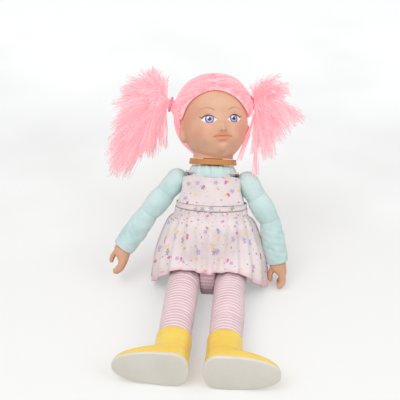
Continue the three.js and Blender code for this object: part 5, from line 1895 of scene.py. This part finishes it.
@dataclass
class Pinafore:
    """Printed cotton pinafore: gathered skirt, waistband, bib and two straps."""

    band_low: float = 69.0
    band_high: float = 75.0
    bib_top: float = 110.0
    bib_width: float = 68
    band_length: float = 235
    strap_width: float = 9.5
    strap_centre: float = 84
    skirt_edge: float = 166
    cloth: float = 1.1
    skirt_wide: float = 67
    skirt_ahead: float = 24
    skirt_behind: float = 78
    skirt_tall: float = 44

    def __post_init__(self) -> None:
        """Scales the skirt's places to millimetres."""
        rows = []
        for turn, *places in SKIRT_ROWS:
            row = [180 * turn]
            for x, y, z in places:
                deep = self.skirt_ahead if y < 0 else self.skirt_behind
                row += [x * self.skirt_wide, y * deep, z * self.skirt_tall]
            rows.append(row)
        self.places = Stations(rows)

    def declare(self, made: Piece, width: float,
                nodes: Sequence[str]) -> None:
        """Seats a panel on the torso and hides the CAD nodes that it stands for.

        Args:
            made: The panel.
            width: The cut's width in millimetres; not used.
            nodes: The CAD nodes that it stands for.
        """
        seat_piece(made, "torso", "printed_cotton", nodes)

    def build(self) -> None:
        """Makes every panel of the pinafore and its seams."""
        self.waistband()
        self.bib()
        for side in Side:
            self.strap(side)
        self.skirt()

    def band_at(self, height: float, turn: float, off: float) -> Vector:
        """Returns a point of the band, which rises where its end laps over its start behind."""
        return TORSO @ body_point(height, turn, off + 2.6 * smooth(158, 169, turn))

    def waistband(self) -> None:
        """Makes the band with its overlap behind, and its two rows of stitches."""
        def at(u: float, v: float) -> Vector:
            """Returns a point of the band."""
            return self.band_at(mix(self.band_low, self.band_high, v), -169 + 360 * u, 1.25)
        made = sheet_mesh("belt", 160, 4, at, COTTON, lambda u, v: (u * self.band_length, 60 + v * 6),
                          self.cloth)
        self.declare(made, self.band_length, ["waistband"])
        rows = [[self.band_at(height, turn, 2.0) for turn in range(-168, 190, 3)]
                for height in (self.band_low + 1.0, self.band_high - 1.0)]
        stitches("belt_stitches", rows, "torso", "printed_cotton", THREAD)

    def bib_at(self, x: float, height: float, off: float) -> Vector:
        """Returns a point of the bib in the torso's frame, off the chest by off."""
        chest = 100
        width, front, _ = body_section(min(height, chest))
        cosine = sqrt(1 - min((x / width) ** 2, 1))
        ease = max(height - chest, 0) * 0.1
        return Vector((x * (1 + off / width), -(front + off) * cosine + ease, height))

    def bib(self) -> None:
        """Makes the bib with soft creases and a stitched edge."""
        halves = Stations([[0, 1.2], [0.3, 1.09], [0.5, 1.05], [0.8, 1.04], [1, 1]])

        def at(u: float, v: float, off: float = 1.2) -> Vector:
            """Returns a point of the bib."""
            height = mix(self.band_high + 0.4, self.bib_top - 0.6 * sin(pi * u), v)
            half = min(30.5 * halves(v)[0], body_section(height)[0] * 0.93)
            soft = 0.35 * sin(u * 9 + v * 4) * v + 0.45 * exp(-v / 0.12) * sin(u * 75)
            return TORSO @ self.bib_at(mix(-half, half, u), height, off + 0.4 + soft * 0.5)
        made = sheet_mesh("bib_panel", 90, 40, at, COTTON,
                          lambda u, v: (u * self.bib_width + 9, v * 36 + 3), self.cloth)
        self.declare(made, self.bib_width, ["bib"])
        edge = [at(i / 40, 0.955, 1.9) for i in range(1, 40)]
        sides = [[at(u, i / 20, 1.9) for i in range(1, 20)] for u in (0.025, 0.975)]
        stitches("bib_stitches", [edge, *sides], "torso", "printed_cotton", THREAD)

    def strap_reach(self, x: float, angle: float) -> float:
        """Returns how far the body reaches from the strap's centre at an angle.

        Args:
            x: The distance to the doll's left of its middle.
            angle: The angle above the front, in radians.

        Returns:
            The reach.
        """
        low, high = 0.0, 92.0
        for _ in range(24):
            reach = (low + high) / 2
            y, height = -cos(angle) * reach, self.strap_centre + sin(angle) * reach
            width, front, back = body_section(height)
            level = (x / width) ** 2 + (y / (front if y < 0 else back)) ** 2
            if level < 1 and height < SPINE * BODY_ROWS.heights[-1]:
                low = reach
            else:
                high = reach
        return (low + high) / 2

    def strap(self, side: Side) -> None:
        """Makes one strap over the shoulder, with the small fold where it meets the bib.

        Args:
            side: The doll's side.
        """
        def at(u: float, v: float, off: float = 0.7) -> Vector:
            """Returns a point of the strap.

            Args:
                u: The share across.
                v: The share along.
                off: How far it stands off.

            Returns:
                The point.
            """
            half = self.strap_width / 2
            x = side.value * (26 - self.strap_width * 0.35 * u * u + mix(-half, half, v))
            start = self.bib_at(x, self.bib_top + 0.3, 0.5)
            rise = start.z - self.strap_centre
            begin = atan2(rise, -start.y)
            stand = hypot(rise, start.y) - self.strap_reach(x, begin)
            angle = mix(begin, radians(186), u)
            front = max(1 - (angle - begin) / (pi / 2 - begin), 0)
            fold = 1.1 * exp(-((u - 0.05) / 0.04) ** 2)
            reach = self.strap_reach(x, angle) + mix(0.5, stand, front**1.5) + off + fold
            return TORSO @ Vector((x, -cos(angle) * reach, self.strap_centre + sin(angle) * reach))
        name = f"shoulder_strap_{side.name}"
        made = sheet_mesh(name, 90, 8, at, COTTON,
                          lambda u, v: (v * self.strap_width + side.value * 12, u * 88), self.cloth)
        self.declare(made, self.strap_width, [f"strap_{side.name}"])
        rows = [[at(i / 50, v, 1.4) for i in range(1, 50)] for v in (0.12, 0.88)]
        stitches(f"strap_stitches_{side.name}", rows, "torso", "printed_cotton", THREAD)

    def skirt_at(self, turn: float, v: float) -> Vector:
        """Returns a point of the skirt in the row frame.

        Args:
            turn: Degrees from the front towards the doll's left.
            v: The share from waist to hem.

        Returns:
            The point.
        """
        flat = self.places(abs(turn))
        sign = -1 if turn < 0 else 1
        path = [TORSO @ body_point(self.band_low - 0.6, turn, 0.9), TORSO @ body_point(59.4, turn, 2.0)]
        path += [Vector((sign * flat[k], flat[k + 1], flat[k + 2])) for k in (0, 3, 6)]
        point = spline_point(path, v)
        angle = radians(turn)
        out = Vector((sin(angle), -cos(angle), 0.35)).normalized()
        growth = (0.15 + 0.85 * v) * sin(pi * min(v * 0.62 + 0.05, 1))
        fold = 2.6 * growth * sin(turn / 17 * 2 * pi)
        gather = 0.75 * exp(-v / 0.16) * sin(turn * 0.75)
        gather += 0.5 * sin(turn * 0.31 + 4 * v) * v * (1 - v)
        curl = 0.5 * smooth(0.93, 1.0, v) * sin(turn * 0.5)
        return point + out * (fold + gather + curl + 0.8)

    def skirt(self) -> None:
        """Makes the gathered skirt with its hem."""
        columns, edge = 330, self.skirt_edge
        hem = [0.0]
        for i in range(columns):
            a, b = (self.skirt_at(mix(-edge, edge, k / columns), 0.8) for k in (i, i + 1))
            hem.append(hem[-1] + (b - a).length)

        def at(u: float, v: float) -> Vector:
            """Returns a point of the skirt."""
            return self.skirt_at(mix(-edge, edge, u), v)
        made = sheet_mesh("gathered_skirt", columns, 64, at, SKIRT_COTTON,
                          lambda u, v: (hem[round(u * columns)], v * 92), 1.0)
        self.declare(made, hem[-1], ["skirt"])
        seam = []
        for i in range(261):
            turn = radians(mix(-edge, edge, i / 260))
            off = Vector((sin(turn), -cos(turn), 0.3)) * 0.62
            seam.append(self.skirt_at(mix(-edge + 1, edge - 1, i / 260), 0.945) + off)
        stitches("hem_stitches", [seam], "torso", "printed_cotton", THREAD)


@dataclass
class Studio:
    """A pale sweep, soft light and the photograph's camera, in millimetres and watts; the sweep in metres."""

    eye: Triple = (58.8, -784.4, 611.7)
    aim: Triple = (-9.8, 0.0, 123.5)
    lens: float = 75.3
    key_power: float = 6.4
    fill_power: float = 2.6
    sky: float = 0.70

    def build(self) -> None:
        """Sets the stage."""
        scene = bpy.context.scene
        scene.view_settings.view_transform = "Standard"
        self.camera()
        self.sweep()
        self.lamp("key_light", (-450, -700, 1250), 900, self.key_power)
        self.lamp("fill_light", (800, -500, 800), 800, self.fill_power)
        world = bpy.data.worlds.new("studio")
        scene.world = world
        world.use_nodes = True
        back = world.node_tree.nodes["Background"]
        back.inputs["Color"].default_value = (1.0, 1.0, 1.0, 1.0)
        back.inputs["Strength"].default_value = self.sky

    def camera(self) -> None:
        """Places the camera."""
        data = bpy.data.cameras.new("view")
        data.lens, data.sensor_width = self.lens, 36
        made = linked("view", data)
        eye, aim = Vector(self.eye) * MM, Vector(self.aim) * MM
        made.location = eye
        made.rotation_euler = (aim - eye).to_track_quat("-Z", "Y").to_euler()
        bpy.context.scene.camera = made

    def lamp(self, name: str, place: Triple, size: float, power: float) -> None:
        """Hangs one soft lamp that faces the doll.

        Args:
            name: Its name.
            place: Where it hangs, in millimetres.
            size: Its side in millimetres.
            power: Its power in watts.
        """
        data = bpy.data.lights.new(name, "AREA")
        data.size, data.energy = size * MM, power
        made = linked(name, data)
        made.location = Vector(place) * MM
        made.rotation_euler = (Vector((0, 0, 0.1)) - made.location).to_track_quat("-Z", "Y").to_euler()

    def sweep(self) -> None:
        """Makes the pale floor that curves up behind the doll."""
        near, bend, radius, top, half, drop = -3.0, 1.6, 0.9, 3.5, 3.5, -0.0003
        mesh = bpy.data.meshes.new("sweep")
        rows = [(near, drop), (bend, drop)]
        for i in range(1, 25):
            turn = pi / 2 * i / 24
            rows.append((bend + radius * sin(turn), radius - radius * cos(turn)))
        rows.append((bend + radius, top))
        points = [(x, y, z) for y, z in rows for x in (-half, half)]
        mesh.from_pydata(points, [], [(2 * i, 2 * i + 1, 2 * i + 3, 2 * i + 2) for i in range(len(rows) - 1)])
        coat = Coat("sweep_paper")
        path = coat.tree.node("ShaderNodeLightPath").outputs
        seen = coat.tree.math("MAXIMUM", coat.tree.math("MAXIMUM", path[0], path["Is Glossy Ray"]),
                              path["Is Transmission Ray"])
        far = coat.tree.split(coat.place)[1]
        shade = coat.tree.step(coat.tree.plus(far, coat.tree.noise(coat.place, 4, 2, 0.5)), 0.5, 1.5)
        coat.set(Base_Color=coat.tree.blend(shade, srgb(202, 203, 202), srgb(236, 238, 239)), Roughness=0.95,
                 Specular_IOR_Level=0.0, Emission_Color=srgb(250, 250, 249),
                 Emission_Strength=coat.tree.times(seen, 0.36))
        mesh.materials.append(coat.material)
        linked("sweep", mesh)


def dress_small_parts() -> None:
    """Gives the ties and touch strips that stay from the CAD model their nylon."""
    names = ["neck_tie", "loop_strip", "hook_strip"]
    names += [f"{kind}_{side.name}" for kind in ("wrist_tie", "ankle_tie") for side in Side]
    for name in names:
        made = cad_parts[name]
        for slot in made.material_slots:
            slot.material = material(TIE)
        logger.info("%s keeps its CAD shape", name)


def main() -> None:
    """Builds the doll piece by piece."""
    logging.basicConfig(level=logging.INFO, format="%(message)s")
    Studio().build()
    body = ClothBody()
    arms = [Sleeve(Side.right, -4, (38, 38, 34, 20)), Sleeve(Side.left, 4, (32, 32, 13, 2))]
    legs = [Trouser(side) for side in Side]
    stuffed = [body, *arms, *legs]
    for made in stuffed:
        made.build()
    plump([piece for made in stuffed for piece in made.padded])
    for made in stuffed:
        made.finish()
    Head().build()
    HairStyle().build()
    Pinafore().build()
    dress_small_parts()


if __name__ == "__main__":
    main()
